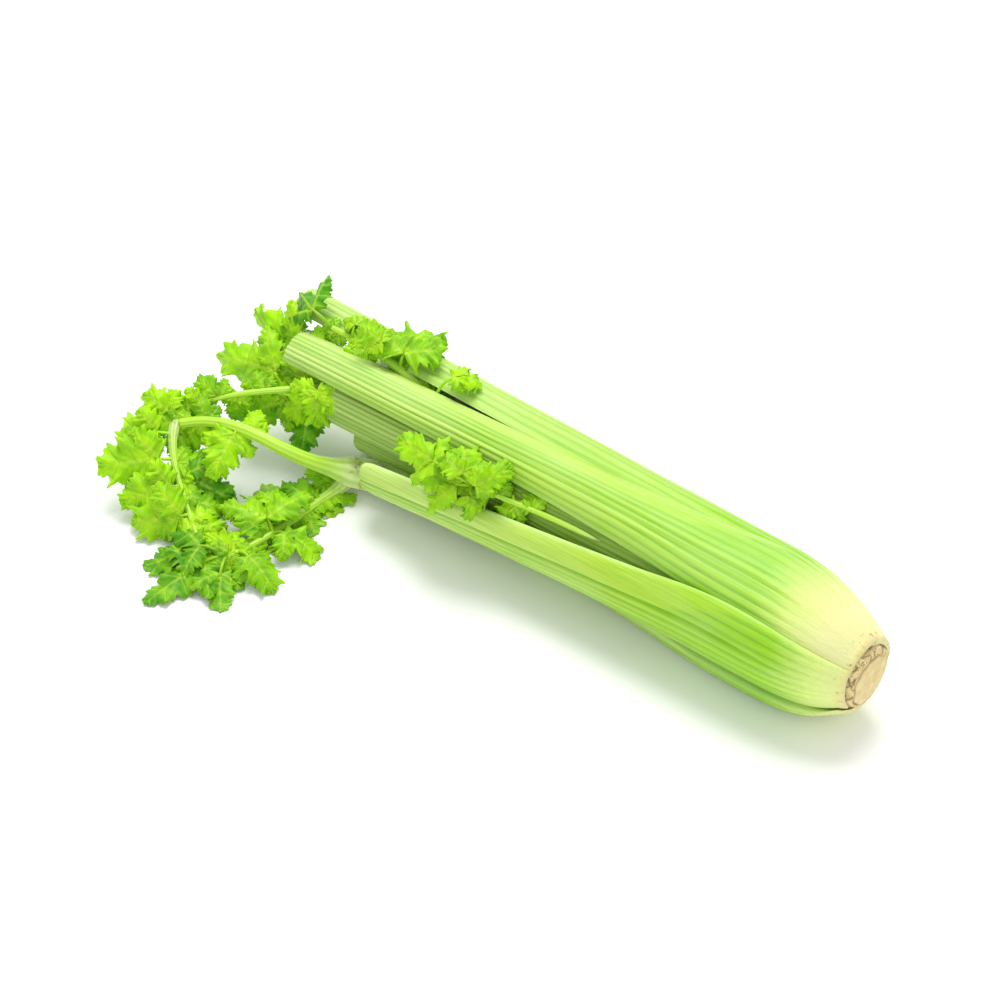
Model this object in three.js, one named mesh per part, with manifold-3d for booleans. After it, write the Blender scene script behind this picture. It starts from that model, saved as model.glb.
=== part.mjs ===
// A head of celery lying on its side: a cut butt, rings of ribbed stalks that swell just above it,
// thin heart stalks, and the leaves that the heart and one leaning stalk carry.
// Millimetres, +Z up. The head lies along X, butt at the +X end, and rests on z = 0.
import * as THREE from "three";
import { mergeVertices } from "three/addons/utils/BufferGeometryUtils.js";
import Module from "manifold-3d";

const wasm = await Module();
wasm.setup();

// The butt, with distances counted from where the outer stalks begin towards their far ends.
const BUTT_FACE_AT = -2.4;
const BUTT_FACE_RADIUS = 14.6;
const BUTT_RIM_RADIUS = 17.2;
const BUTT_RIM_FROM = 0.4;
const BUTT_RIM_TO = 2.2;
const BUTT_CONE_RADIUS = 13.8;
const BUTT_CONE_END = 34;
const BUTT_CONE_STEPS = 6;
const BUTT_CONE_FULLNESS = 1.3;
const BUTT_SIDES = 28;

// The butt sits off the middle of the head (in Y and Z), and the crown bends back to the middle
// between these two distances along the head.
const CROWN_OFFSET = [-2, -1.7];
const CROWN_BEND_FROM = 10;
const CROWN_BEND_TO = 54;

// The head swells to its widest a little way above the butt and keeps that shape until the stalks
// start to run free.
const BULGE_AT = 58;
const SWELL_POWER = 2.8;
const FREE_FROM = 72;
const NARROWING_LENGTH = 78;
const DRIFT_POWER = 1.35;

// A stalk: how finely its skin is divided, and how its section is rounded at the two edges.
const STALK_SIDES = 16;
const STALK_STEPS = 13;
const STEP_CROWDING = 1.7;
const EDGE_ROUNDING_AT_BASE = 2;
const EDGE_ROUNDING_AT_END = 3.2;
const PINWHEEL_SHARE = 0.36;
const END_CURVE_RADIUS = 12;

// The undersides that carry the head are pressed flat this far below its axis.
const REST_DEPTH = 34;
const PRESS_SIZE = 1000;

// Rings of stalks, from outside to inside: where a ring leaves the crown, the radius of its middle
// line there and at the bulge, a stalk's thickness there and at the bulge, and half the angle that
// a stalk spans, in degrees.
const RINGS = {
  outer: { from: 2.6, crown: 18.4, bulge: 30, thinAt: 3.2, thick: 7.4, span: 43 },
  middle: { from: 9, crown: 14, bulge: 21, thinAt: 2.4, thick: 6.6, span: 43 },
  inner: { from: 16, crown: 10.7, bulge: 13.4, thinAt: 2.2, thick: 5, span: 51 },
  heart: { from: 23.6, crown: 7, bulge: 7.4, thinAt: 2, thick: 4, span: 56 },
};

const SKIN = {
  butt: new THREE.Color(0xd9b98a),
  outer: new THREE.Color(0xb6dc6c),
  middle: new THREE.Color(0xc3e283),
  inner: new THREE.Color(0xd3eb9c),
  heart: new THREE.Color(0xe0efb2),
  leafStem: new THREE.Color(0xa9d95a),
  leaf: new THREE.Color(0x7fcb2a),
  darkLeaf: new THREE.Color(0x4fa01c),
};
const STALK_ROUGHNESS = 0.35;
const LEAF_ROUGHNESS = 0.45;
const BUTT_ROUGHNESS = 0.75;

// Stalks. turn is the side of the head that the stalk grows on, in degrees from straight up
// towards the front. end is where the middle of its far end lies: distance from the butt, then Y
// and Z from the head's axis. faces is the turn of its ribbed back at that end.
const STALKS = [
  { name: "stalk_front_upper", ring: "outer", turn: 17, end: [334, -10, 24], faces: 24, half: 10.5, thick: 8.2 },
  { name: "stalk_front_lower", ring: "outer", turn: 90, end: [267, -35.5, -10.5], faces: 110, half: 11, thick: 8 },
  { name: "stalk_under", ring: "outer", turn: 166, end: [301, 9, -31.8], faces: 180, half: 11, thick: 8 },
  { name: "stalk_back_lower", ring: "outer", turn: 236, end: [322, 31.5, -11.5], faces: 246, half: 11, thick: 8 },
  { name: "stalk_back_upper", ring: "outer", turn: 307, end: [351, 21, 27], faces: 318, half: 11, thick: 8 },
  { name: "stalk_middle_front", ring: "middle", turn: 58, end: [310, -20, 8], faces: 64, half: 9, thick: 7 },
  { name: "stalk_middle_leafy", ring: "middle", turn: 128, end: [285, -21.3, -24.4], faces: 146, half: 7.5, thick: 6.2 },
  { name: "stalk_middle_under", ring: "middle", turn: 202, end: [292, 13, -17], faces: 214, half: 7.5, thick: 6.2 },
  { name: "stalk_middle_back", ring: "middle", turn: 274, end: [309, 27, 6], faces: 282, half: 9, thick: 7 },
  { name: "stalk_middle_top", ring: "middle", turn: 348, end: [256, 3, 17.5], faces: 350, half: 8, thick: 6.4 },
  { name: "stalk_inner_front", ring: "inner", turn: 92, end: [288, -17, -7], faces: 84, half: 7.5, thick: 5.6 },
  { name: "stalk_inner_under", ring: "inner", turn: 182, end: [262, -4, -14], faces: 178, half: 7.5, thick: 5.4 },
  { name: "stalk_inner_back", ring: "inner", turn: 272, end: [270, 14, -4], faces: 264, half: 7, thick: 5.6 },
  { name: "stalk_inner_top", ring: "inner", turn: 2, end: [284, 8, 8], faces: 346, half: 6.5, thick: 5 },
  { name: "heart_stalk_long", ring: "heart", turn: 60, end: [308, -7.5, 2.5], faces: 56, half: 5.5, thick: 4.4 },
  { name: "heart_stalk_front", ring: "heart", turn: 180, end: [176, -1, -7.5], faces: 180, half: 5, thick: 4 },
  { name: "heart_stalk_short", ring: "heart", turn: 300, end: [232, 4, -4], faces: 270, half: 5, thick: 4 },
];

// Leaf stems: the points that each one runs through, and its half thickness.
const LEAF_STEMS = [
  { name: "leaf_stem_leaning", half: 3.4, through: [[289, -27, -22], [298, -41, -12], [309, -49, -4], [328, -55, 1], [346, -62, 1], [356, -70, -1]] },
  { name: "leaf_stem_hanging", half: 1.6, through: [[357, -73, -3], [347, -83, -10], [330, -94, -18], [308, -107, -25]] },
  { name: "leaf_stem_low", half: 2, through: [[288, -29, -30], [288, -56, -29], [288, -82, -28], [293, -107, -28]] },
  { name: "leaf_stem_thin", half: 1.8, through: [[313, -14, 8], [325, -26, 9], [343, -43, 7], [355, -58, 4]] },
  { name: "leaf_stem_heart", half: 2, through: [[310, -8, 6], [323, -13, 9], [336, -17, 11]] },
  { name: "leaf_stem_top", half: 2.2, through: [[259, 4, 15], [268, 5, 22], [285, 5.5, 27], [305, 5, 30], [322, 3, 32]] },
  { name: "leaf_stem_curled", half: 1.3, through: [[132, -21.8, 15], [160, -22.4, 14], [186, -25, 13.5], [204, -31, 17]] },
];
const STEM_SIDES = 8;
const STEM_STEPS = 10;

// Leaflets: where the blade starts and where its tip is, its width, and the way its upper face
// looks. cup bends its two sides down, and bow lets its middle rise above a straight line.
const UP = [0, 0, 1];
const FRONT = [0.5, -0.6, 0.65];
const FRONT_SIDE = [0.2, -0.95, 0.3];
const LEAFLETS = [
  { name: "leaflet_top_tip", from: [331, 2, 37], to: [370, 17, 40], width: 22, looks: FRONT, dark: true },
  { name: "leaflet_top_rear", from: [308, 6, 37], to: [325, 23, 42], width: 20, looks: FRONT },
  { name: "leaflet_fan_wide", from: [277, 6, 35], to: [283, 32, 41], width: 34, looks: UP },
  { name: "leaflet_fan_narrow", from: [286, 2, 40], to: [304, -2, 48], width: 20, looks: FRONT },
  { name: "leaflet_crest", from: [247, 8, 35], to: [235, 17, 40], width: 18, looks: UP },
  { name: "leaflet_heart_far", from: [336, -20, 11], to: [376, -31, 11], width: 24, looks: FRONT },
  { name: "leaflet_heart_high", from: [338, -4, 18], to: [372, -6, 21], width: 20, looks: FRONT_SIDE },
  { name: "leaflet_heart_low", from: [333, -14, 6], to: [362, -24, -4], width: 22, looks: FRONT },
  { name: "leaflet_heart_drooping", from: [326, -24, 3], to: [343, -47, -7], width: 20, looks: FRONT },
  { name: "leaflet_heart_hanging", from: [319, -16, 0], to: [307, -36, -12], width: 19, looks: FRONT, dark: true },
  { name: "leaflet_curled_long", from: [207, -35, 17], to: [241, -34, 15], width: 20, looks: FRONT },
  { name: "leaflet_curled_high", from: [204, -36, 26], to: [214, -22, 41], width: 20, looks: FRONT },
  { name: "leaflet_curled_end", from: [197, -35, 22], to: [183, -26, 36], width: 14, looks: FRONT },
  { name: "leaflet_curled_rolled", from: [200, -36, 16], to: [184, -38, 11], width: 16, looks: FRONT },
  { name: "leaflet_curled_far", from: [219, -37, 26], to: [249, -34, 25], width: 16, looks: FRONT },
  { name: "leaflet_leaning_side", from: [329, -59, 0], to: [324, -78, -7], width: 17, looks: FRONT },
  { name: "leaflet_ring_top", from: [361, -69, 3], to: [376, -70, 6], width: 17, looks: FRONT },
  { name: "leaflet_ring_upper", from: [361, -79, -3], to: [375, -93, -6], width: 22, looks: FRONT },
  { name: "leaflet_ring_left", from: [351, -88, -9], to: [370, -106, -12], width: 26, looks: FRONT },
  { name: "leaflet_ring_inner", from: [337, -85, -14], to: [310, -82, -17], width: 18, looks: FRONT, dark: true },
  { name: "leaflet_ring_mid", from: [338, -94, -16], to: [352, -112, -20], width: 22, looks: FRONT },
  { name: "leaflet_ring_lower", from: [324, -102, -21], to: [342, -120, -25], width: 25, looks: FRONT },
  { name: "leaflet_low_left", from: [303, -111, -23], to: [326, -132, -26], width: 24, looks: UP },
  { name: "leaflet_low_tip", from: [298, -114, -29], to: [303, -150, -32], width: 22, looks: UP },
  { name: "leaflet_low_near", from: [287, -115, -29], to: [265, -138, -32], width: 20, looks: UP },
  { name: "leaflet_low_right", from: [283, -100, -26], to: [252, -107, -30], width: 24, looks: UP },
  { name: "leaflet_low_end", from: [281, -77, -26], to: [244, -68, -30], width: 27, looks: UP },
  { name: "leaflet_low_inner", from: [292, -77, -23], to: [315, -52, -20], width: 25, looks: FRONT },
];
const BLADE_THICKNESS = 1.1;
const BLADE_ROWS = 6;
const BLADE_COLUMNS = 4;
const BLADE_CUP = 0.22;
const BLADE_BOW = 0.1;
// Half width of a leaflet along its length, as shares of the greatest: a narrow foot, two side
// lobes and a pointed end lobe.
const BLADE_OUTLINE = [0.16, 0.82, 1, 0.66, 0.78, 0.44, 0.08];

const rad = THREE.MathUtils.degToRad;
const lerp = THREE.MathUtils.lerp;
const clamp = THREE.MathUtils.clamp;

// A point given by its distance from the butt and its place round the head's axis.
function headPoint(along, y, z) {
  return new THREE.Vector3(-along, y, z);
}

// Y and Z of the direction that points away from the axis at a turn round it.
function outwardAt(turn) {
  return [-Math.sin(rad(turn)), Math.cos(rad(turn))];
}

// How far the crown lies off the middle of the head, in Y and Z, at a distance from the butt.
function crownOffsetAt(along) {
  const share = 1 - THREE.MathUtils.smoothstep(along, CROWN_BEND_FROM, CROWN_BEND_TO);
  return [share * CROWN_OFFSET[0], share * CROWN_OFFSET[1]];
}

// Joins the vertices that a ready-made geometry keeps apart, so that its skin is closed.
function welded(geometry) {
  geometry.deleteAttribute("normal");
  geometry.deleteAttribute("uv");
  return mergeVertices(geometry);
}

// Moves every vertex of a geometry to where place() puts it.
function reshaped(geometry, place) {
  const closed = welded(geometry);
  const position = closed.attributes.position;
  const vertex = new THREE.Vector3();
  for (let i = 0; i < position.count; i++) {
    vertex.fromBufferAttribute(position, i);
    const moved = place(vertex);
    position.setXYZ(i, moved.x, moved.y, moved.z);
  }
  closed.computeVertexNormals();
  return closed;
}

// A closed geometry as a solid that can be cut, and back.
function solidOf(geometry) {
  const closed = welded(geometry.clone());
  const vertProperties = closed.attributes.position.array;
  return new wasm.Manifold(
    new wasm.Mesh({ numProp: 3, vertProperties, triVerts: new Uint32Array(closed.index.array) }),
  );
}

function geometryOf(solid) {
  const { vertProperties, triVerts } = solid.getMesh();
  const geometry = new THREE.BufferGeometry();
  geometry.setAttribute("position", new THREE.BufferAttribute(vertProperties, 3));
  geometry.setIndex(new THREE.BufferAttribute(triVerts, 1));
  geometry.computeVertexNormals();
  return geometry;
}

// Cuts off whatever hangs below the level that the head rests on.
function pressedFlat(geometry) {
  geometry.computeBoundingBox();
  if (geometry.boundingBox.min.z >= -REST_DEPTH) return geometry;
  const block = new THREE.BoxGeometry(PRESS_SIZE, PRESS_SIZE, PRESS_SIZE);
  block.translate(0, 0, -REST_DEPTH - PRESS_SIZE / 2);
  return geometryOf(solidOf(geometry).subtract(solidOf(block)));
}

function namedMesh(name, geometry, colour, roughness) {
  const material = new THREE.MeshStandardMaterial({ color: colour, roughness, metalness: 0 });
  const mesh = new THREE.Mesh(geometry, material);
  mesh.name = name;
  return mesh;
}

// The butt: a flat cut face with a bevelled rim, and the cone inside the head that the stalks grow
// from.
function makeButt() {
  const profile = [
    new THREE.Vector2(0, BUTT_FACE_AT),
    new THREE.Vector2(BUTT_FACE_RADIUS, BUTT_FACE_AT),
    new THREE.Vector2(BUTT_RIM_RADIUS, BUTT_RIM_FROM),
    new THREE.Vector2(BUTT_RIM_RADIUS, BUTT_RIM_TO),
  ];
  for (let i = 0; i <= BUTT_CONE_STEPS; i++) {
    const share = i / BUTT_CONE_STEPS;
    const radius = BUTT_CONE_RADIUS * (1 - share ** BUTT_CONE_FULLNESS);
    profile.push(new THREE.Vector2(radius, lerp(BUTT_RIM_TO, BUTT_CONE_END, share)));
  }
  const geometry = reshaped(new THREE.LatheGeometry(profile, BUTT_SIDES), (vertex) => {
    const [offY, offZ] = crownOffsetAt(vertex.y);
    return headPoint(vertex.y, vertex.x + offY, vertex.z + offZ);
  });
  return namedMesh("butt", geometry, SKIN.butt, BUTT_ROUGHNESS);
}

// Sizes of one stalk's section at a distance along the head.
function stalkSection(stalk, along) {
  const ring = RINGS[stalk.ring];
  const swell = 1 - (1 - clamp((along - ring.from) / (BULGE_AT - ring.from), 0, 1)) ** SWELL_POWER;
  const ringRadius = lerp(ring.crown, ring.bulge, swell);
  const ringThickness = lerp(ring.thinAt, ring.thick, swell);
  const free = Math.max(along - FREE_FROM, 0);
  const narrowed = 1 - Math.exp(-free / NARROWING_LENGTH);
  const drift = (free / (stalk.end[0] - FREE_FROM)) ** DRIFT_POWER;
  const [offY, offZ] = crownOffsetAt(along);
  const [outY, outZ] = outwardAt(stalk.turn);
  return {
    y: lerp(outY * ringRadius, stalk.end[1], drift) + offY,
    z: lerp(outZ * ringRadius, stalk.end[2], drift) + offZ,
    facing: lerp(stalk.turn, nearestTurn(stalk.faces, stalk.turn), drift),
    curve: lerp(ringRadius, END_CURVE_RADIUS, narrowed),
    half: lerp(rad(ring.span) * ringRadius, stalk.half, narrowed),
    thickness: lerp(ringThickness, stalk.thick, narrowed),
    rounding: lerp(EDGE_ROUNDING_AT_BASE, EDGE_ROUNDING_AT_END, narrowed),
    pinwheel: PINWHEEL_SHARE * ringThickness * (1 - narrowed),
  };
}

// The same turn, counted so that it lies within half a circle of another one.
function nearestTurn(turn, other) {
  return turn - 360 * Math.round((turn - other) / 360);
}

// A stalk is a cylinder bent into a crescent: its back bulges outwards, its edges are thin, and
// near the butt one edge lies over the next stalk's and the other lies under.
function makeStalk(stalk) {
  const start = RINGS[stalk.ring].from;
  const cylinder = new THREE.CylinderGeometry(1, 1, 1, STALK_SIDES, STALK_STEPS);
  const geometry = reshaped(cylinder, (vertex) => {
    const share = (0.5 - vertex.y) ** STEP_CROWDING;
    const along = lerp(start, stalk.end[0], share);
    const section = stalkSection(stalk, along);
    const across = clamp(vertex.x, -1, 1);
    const isInside = Math.hypot(vertex.x, vertex.z) < 0.5;
    const side = isInside ? 0 : Math.sign(Math.round(vertex.z * 1000));
    const angle = (across * section.half) / section.curve;
    const wall = section.thickness * (1 - Math.abs(across) ** section.rounding) ** (1 / 2);
    const radius = section.curve - section.pinwheel * across + (side * wall) / 2;
    const [outY, outZ] = outwardAt(section.facing);
    const outward = radius * Math.cos(angle) - section.curve;
    const sideways = radius * Math.sin(angle);
    return headPoint(
      along,
      section.y + outY * outward - outZ * sideways,
      section.z + outZ * outward + outY * sideways,
    );
  });
  return namedMesh(stalk.name, pressedFlat(geometry), SKIN[stalk.ring], STALK_ROUGHNESS);
}

// A leaf stem is a round tube along a smooth curve.
function makeLeafStem(stem) {
  const path = new THREE.CatmullRomCurve3(stem.through.map((point) => headPoint(...point)));
  const round = new THREE.Shape();
  for (let i = 0; i < STEM_SIDES; i++) {
    const angle = (2 * Math.PI * i) / STEM_SIDES;
    const x = stem.half * Math.cos(angle);
    const y = stem.half * Math.sin(angle);
    if (i === 0) round.moveTo(x, y);
    else round.lineTo(x, y);
  }
  const settings = { steps: STEM_STEPS, extrudePath: path };
  const geometry = welded(new THREE.ExtrudeGeometry(round, settings));
  return namedMesh(stem.name, geometry, SKIN.leafStem, STALK_ROUGHNESS);
}

// Half width of a leaflet at a share of its length.
function outlineAt(share) {
  const place = share * (BLADE_OUTLINE.length - 1);
  const before = Math.min(Math.floor(place), BLADE_OUTLINE.length - 2);
  return lerp(BLADE_OUTLINE[before], BLADE_OUTLINE[before + 1], place - before);
}

// A leaflet is a thin slab cut to a lobed outline, bowed along its length and cupped across it.
function makeLeaflet(leaflet) {
  const foot = headPoint(...leaflet.from);
  const tip = headPoint(...leaflet.to);
  const length = foot.distanceTo(tip);
  const forward = tip.clone().sub(foot).normalize();
  const looks = new THREE.Vector3(...leaflet.looks);
  const sideways = new THREE.Vector3().crossVectors(looks, forward).normalize();
  const upward = new THREE.Vector3().crossVectors(forward, sideways);
  const slab = new THREE.BoxGeometry(1, 1, 1, BLADE_COLUMNS, BLADE_ROWS, 1);
  const geometry = reshaped(slab, (vertex) => {
    const share = vertex.y + 0.5;
    const across = -vertex.x * 2;
    const halfWidth = (outlineAt(share) * leaflet.width) / 2;
    const bow = BLADE_BOW * length * 4 * share * (1 - share);
    const cup = BLADE_CUP * halfWidth * across ** 2;
    return foot
      .clone()
      .addScaledVector(forward, share * length)
      .addScaledVector(sideways, across * halfWidth)
      .addScaledVector(upward, bow - cup + vertex.z * BLADE_THICKNESS);
  });
  const colour = leaflet.dark ? SKIN.darkLeaf : SKIN.leaf;
  return namedMesh(leaflet.name, geometry, colour, LEAF_ROUGHNESS);
}

// The head, moved so that its lowest point is at z = 0 and it is centred over the origin.
function makeHead() {
  const head = new THREE.Group();
  head.add(makeButt());
  for (const stalk of STALKS) head.add(makeStalk(stalk));
  for (const stem of LEAF_STEMS) head.add(makeLeafStem(stem));
  for (const leaflet of LEAFLETS) head.add(makeLeaflet(leaflet));
  const bounds = new THREE.Box3().setFromObject(head, true);
  const centre = bounds.getCenter(new THREE.Vector3());
  head.position.set(-centre.x, -centre.y, -bounds.min.z);
  const part = new THREE.Group();
  part.add(head);
  return part;
}

export default makeHead();
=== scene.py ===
"""A head of celery lying on its side, built around its fixed frame as a set of operators.

Metres, +Z up. The head lies along X with the cut butt at the +X end.
"""
import math
from collections import namedtuple

import bmesh
import bpy
import numpy as np
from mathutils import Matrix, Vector


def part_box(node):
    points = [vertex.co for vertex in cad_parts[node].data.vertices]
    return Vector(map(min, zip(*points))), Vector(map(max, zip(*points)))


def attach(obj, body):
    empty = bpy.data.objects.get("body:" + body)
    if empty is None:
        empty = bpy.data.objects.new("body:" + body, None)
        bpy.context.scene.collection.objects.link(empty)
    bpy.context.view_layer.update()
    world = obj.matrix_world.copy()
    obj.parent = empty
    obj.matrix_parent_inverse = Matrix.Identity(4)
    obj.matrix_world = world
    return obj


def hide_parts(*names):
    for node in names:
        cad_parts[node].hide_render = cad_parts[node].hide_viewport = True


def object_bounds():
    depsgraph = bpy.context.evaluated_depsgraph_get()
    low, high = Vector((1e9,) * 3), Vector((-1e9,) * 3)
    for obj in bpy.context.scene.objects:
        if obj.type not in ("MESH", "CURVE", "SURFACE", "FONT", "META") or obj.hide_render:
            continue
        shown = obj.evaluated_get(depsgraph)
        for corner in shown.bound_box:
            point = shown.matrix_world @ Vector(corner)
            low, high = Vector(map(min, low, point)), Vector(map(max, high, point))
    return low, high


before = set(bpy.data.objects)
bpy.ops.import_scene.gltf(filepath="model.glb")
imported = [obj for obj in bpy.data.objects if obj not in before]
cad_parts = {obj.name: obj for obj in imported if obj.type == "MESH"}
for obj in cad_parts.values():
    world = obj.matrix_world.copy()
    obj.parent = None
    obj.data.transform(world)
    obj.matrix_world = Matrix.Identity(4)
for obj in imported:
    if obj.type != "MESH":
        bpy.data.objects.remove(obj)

bl_info = {
    "name": "Head of celery",
    "version": (1, 0, 0),
    "blender": (4, 5, 0),
    "location": "3D View > Sidebar > Celery",
    "description": "Ribbed stalks, cut butt, leaf stems and toothed leaves of one head of celery",
    "category": "Object",
}

CAD_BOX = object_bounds()
BUTT_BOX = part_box("butt")
BODY = "root"
MM = 0.001
RIM_DEPTH = 2.4 * MM
OUTLINE_POINTS = 240

# The stalks, from the outside of the head inwards.
OUTER_STALKS = (
    "stalk_front_upper",
    "stalk_front_lower",
    "stalk_under",
    "stalk_back_lower",
    "stalk_back_upper",
)
MIDDLE_STALKS = (
    "stalk_middle_front",
    "stalk_middle_leafy",
    "stalk_middle_under",
    "stalk_middle_back",
    "stalk_middle_top",
)
INNER_STALKS = ("stalk_inner_front", "stalk_inner_under", "stalk_inner_back", "stalk_inner_top")
HEART_STALKS = ("heart_stalk_long", "heart_stalk_front", "heart_stalk_short")

# Leaf stems: what each one grows from, its half thickness at the foot and at the tip in
# millimetres, how much its foot swells, and how deep its foot reaches in, in millimetres.
LEAF_STEMS = {
    "leaf_stem_leaning": ("stalk_middle_leafy", 4.2, 2.4, 0.95, 17.0),
    "leaf_stem_hanging": ("leaf_stem_leaning", 1.9, 1.1, 0.5, 6.0),
    "leaf_stem_low": ("stalk_middle_leafy", 2.6, 1.3, 0.6, 9.0),
    "leaf_stem_thin": ("stalk_middle_front", 2.0, 1.2, 0.4, 7.0),
    "leaf_stem_heart": ("heart_stalk_long", 2.4, 1.6, 0.3, 7.0),
    "leaf_stem_top": ("stalk_middle_top", 2.6, 1.5, 0.3, 7.0),
    "leaf_stem_curled": ("stalk_middle_front", 1.7, 1.1, -0.8, 7.0),
}

# Leaflets on each leaf stem: how far the tip curls over (in quarter turns), how deep the blade
# folds along its middle vein, how much darker than its neighbours it is (partly painted shade on
# leaves that lie in shade, partly the deeper green of older leaves), and its size beside
# the plain slab that it stands for.
LEAFLETS = {
    "leaf_stem_top": {
        "leaflet_top_tip": (0.5, 0.7, 1.0, 0.8),
        "leaflet_top_rear": (1.1, 0.5, 0.3, 0.7),
        "leaflet_fan_wide": (0.6, 0.1, 0.4, 1.1),
        "leaflet_fan_narrow": (0.9, 0.3, 0.2, 0.9),
        "leaflet_crest": (0.9, 0.2, 0.1, 0.95),
    },
    "leaf_stem_heart": {
        "leaflet_heart_far": (0.5, 0.2, 0.2, 1.25),
        "leaflet_heart_high": (0.7, 0.15, 0.1, 1.25),
        "leaflet_heart_low": (0.4, 0.2, 0.3, 1.3),
        "leaflet_heart_drooping": (0.6, 0.25, 0.5, 1.2),
        "leaflet_heart_hanging": (0.5, 0.3, 0.9, 1.2),
    },
    "leaf_stem_curled": {
        "leaflet_curled_long": (0.6, 0.2, 0.2, 1.2),
        "leaflet_curled_high": (1.2, 0.1, 0.3, 1.15),
        "leaflet_curled_end": (1.6, 0.1, 0.3, 1.2),
        "leaflet_curled_rolled": (3.4, 0.1, 0.4, 1.5),
        "leaflet_curled_far": (0.9, 0.1, 0.2, 1.2),
    },
    "leaf_stem_leaning": {
        "leaflet_leaning_side": (0.5, 0.25, 0.1, 1.4),
        "leaflet_ring_top": (0.4, 0.2, 0.0, 1.25),
    },
    "leaf_stem_hanging": {
        "leaflet_ring_upper": (0.5, 0.2, 0.0, 1.3),
        "leaflet_ring_left": (0.4, 0.2, 0.1, 1.3),
        "leaflet_ring_inner": (0.7, 0.3, 1.0, 1.2),
        "leaflet_ring_mid": (0.5, 0.2, 0.1, 1.3),
        "leaflet_ring_lower": (0.6, 0.15, 0.3, 1.2),
    },
    "leaf_stem_low": {
        "leaflet_low_left": (0.4, 0.2, 0.9, 1.2),
        "leaflet_low_tip": (0.3, 0.3, 0.8, 1.15),
        "leaflet_low_near": (0.7, 0.2, 0.7, 0.9),
        "leaflet_low_right": (1.0, 0.1, 0.5, 0.9),
        "leaflet_low_end": (1.3, 0.1, 0.4, 0.8),
        "leaflet_low_inner": (0.6, 0.15, 0.4, 1.25),
    },
}

# Small leaves on each leaf stem: how far along, which way they swing off it in degrees, size,
# and for some how far they stand off the stem in millimetres.
SMALL_LEAVES = {
    "leaf_stem_leaning": (
        (0.66, 70, 1.1), (0.78, -75, 1.3), (0.88, 60, 1.2), (0.94, -60, 1.4), (0.99, 10, 1.4),
    ),
    "leaf_stem_hanging": (
        (0.1, -80, 1.5), (0.34, -75, 1.7), (0.5, -60, 1.6), (0.7, -80, 1.6), (0.85, -50, 1.5),
        (0.97, 10, 1.4), (0.93, 70, 1.2),
    ),
    "leaf_stem_low": (
        (0.12, 75, 1.3), (0.2, -70, 1.5), (0.3, 60, 1.5), (0.4, -70, 1.5), (0.5, 80, 1.6),
        (0.6, -60, 1.5), (0.72, 70, 1.5), (0.82, -60, 1.4), (0.92, 50, 1.4), (0.98, -10, 1.4),
    ),
    "leaf_stem_thin": (
        (0.12, -50, 1.7, 9), (0.1, -95, 1.5, 11), (0.1, -140, 1.2, 11), (0.06, 70, 1.5),
        (0.14, -60, 1.4), (0.5, 60, 0.9), (0.7, -70, 1.1), (0.86, 60, 1.2), (0.98, 0, 1.4),
    ),
    "leaf_stem_top": (
        (0.15, 80, 1.3), (0.3, -80, 1.5), (0.42, 60, 1.2), (0.55, 80, 1.1), (0.68, -60, 1.3),
        (0.8, 70, 0.8), (0.92, -60, 0.8), (0.98, 0, 0.8),
    ),
    "leaf_stem_heart": (
        (0.1, 80, 1.6), (0.25, -80, 1.6), (0.4, 70, 1.7), (0.55, -70, 1.7), (0.6, 85, 2.0),
        (0.7, 60, 1.7), (0.9, 75, 2.0), (0.85, -40, 1.7), (0.98, 0, 1.7),
    ),
    "leaf_stem_curled": (
        (0.6, 60, 1.0), (0.72, -60, 1.1), (0.84, 70, 1.2), (0.97, 0, 1.2),
    ),
}
# The way that the upper sides of the leaves face.
UPPER_FACE = np.array([0.5, -0.6, 0.65])


def linear(text):
    """A screen colour such as "b6dc6c" as the linear numbers that shaders use."""
    parts = [int(text[i:i + 2], 16) / 255 for i in (0, 2, 4)]
    return [p / 12.92 if p <= 0.04045 else ((p + 0.055) / 1.055) ** 2.4 for p in parts] + [1.0]


def colour_property(name, text, description):
    return bpy.props.FloatVectorProperty(
        name=name, description=description, default=linear(text), size=4, subtype="COLOR", min=0, max=1
    )


def length_property(name, value, description):
    return bpy.props.FloatProperty(
        name=name, description=description, default=value, min=0, subtype="DISTANCE", unit="LENGTH"
    )


class StalkSettings(bpy.types.PropertyGroup):
    """Sizes and colours of the stalks."""

    ribs: bpy.props.FloatProperty(name="Ribs", description="Ribs across the back", default=11, min=1)
    rib_depth: length_property("Rib depth", 0.75 * MM, "How far the ribs stand above the grooves")
    rib_wander: bpy.props.FloatProperty(
        name="Rib wander", description="How far a rib strays sideways, in ribs", default=0.55, min=0
    )
    fade_from: length_property("Ribs start", 14 * MM, "Distance from the butt where the ribs begin")
    fade_to: length_property("Ribs full", 50 * MM, "Distance from the butt where the ribs are full")
    unevenness: length_property("Unevenness", 0.7 * MM, "Slow swelling and sinking of the skin")
    pale_green: colour_property("Pale green", "dcf08c", "Skin at the free end")
    green: colour_property("Green", "bcdc48", "Skin along most of a stalk")
    lively: colour_property("Lively green", "a6dc12", "Skin a hand's width from the butt")
    young: colour_property("Young green", "dcef80", "Skin where the cream of the butt ends")
    # This deep green is painted shade in the grooves between the ribs and along the deep groove line, and
    # also the real darker streaks of the fibres.
    groove_shade_and_streak: colour_property("Deep green", "74b814", "Grooves and young skin")
    cream: colour_property("Cream", "e8e4a0", "Skin that was covered with earth, next to the butt")
    sheen: colour_property("Sheen", "cfe9a0", "Hollow side of a stalk")
    flesh: colour_property("Flesh", "dcefb0", "Cut ends")
    fibre: colour_property("Fibre", "f2f6cf", "Fibre ends on the cuts")
    old_fibre: colour_property("Old fibre", "b9d878", "Older fibre ends on the cuts")
    dried: colour_property("Dried", "e2cb86", "Dried skin at the rim of the butt")
    speck: colour_property("Speck", "6f5a22", "Specks on the dried skin")


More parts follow.
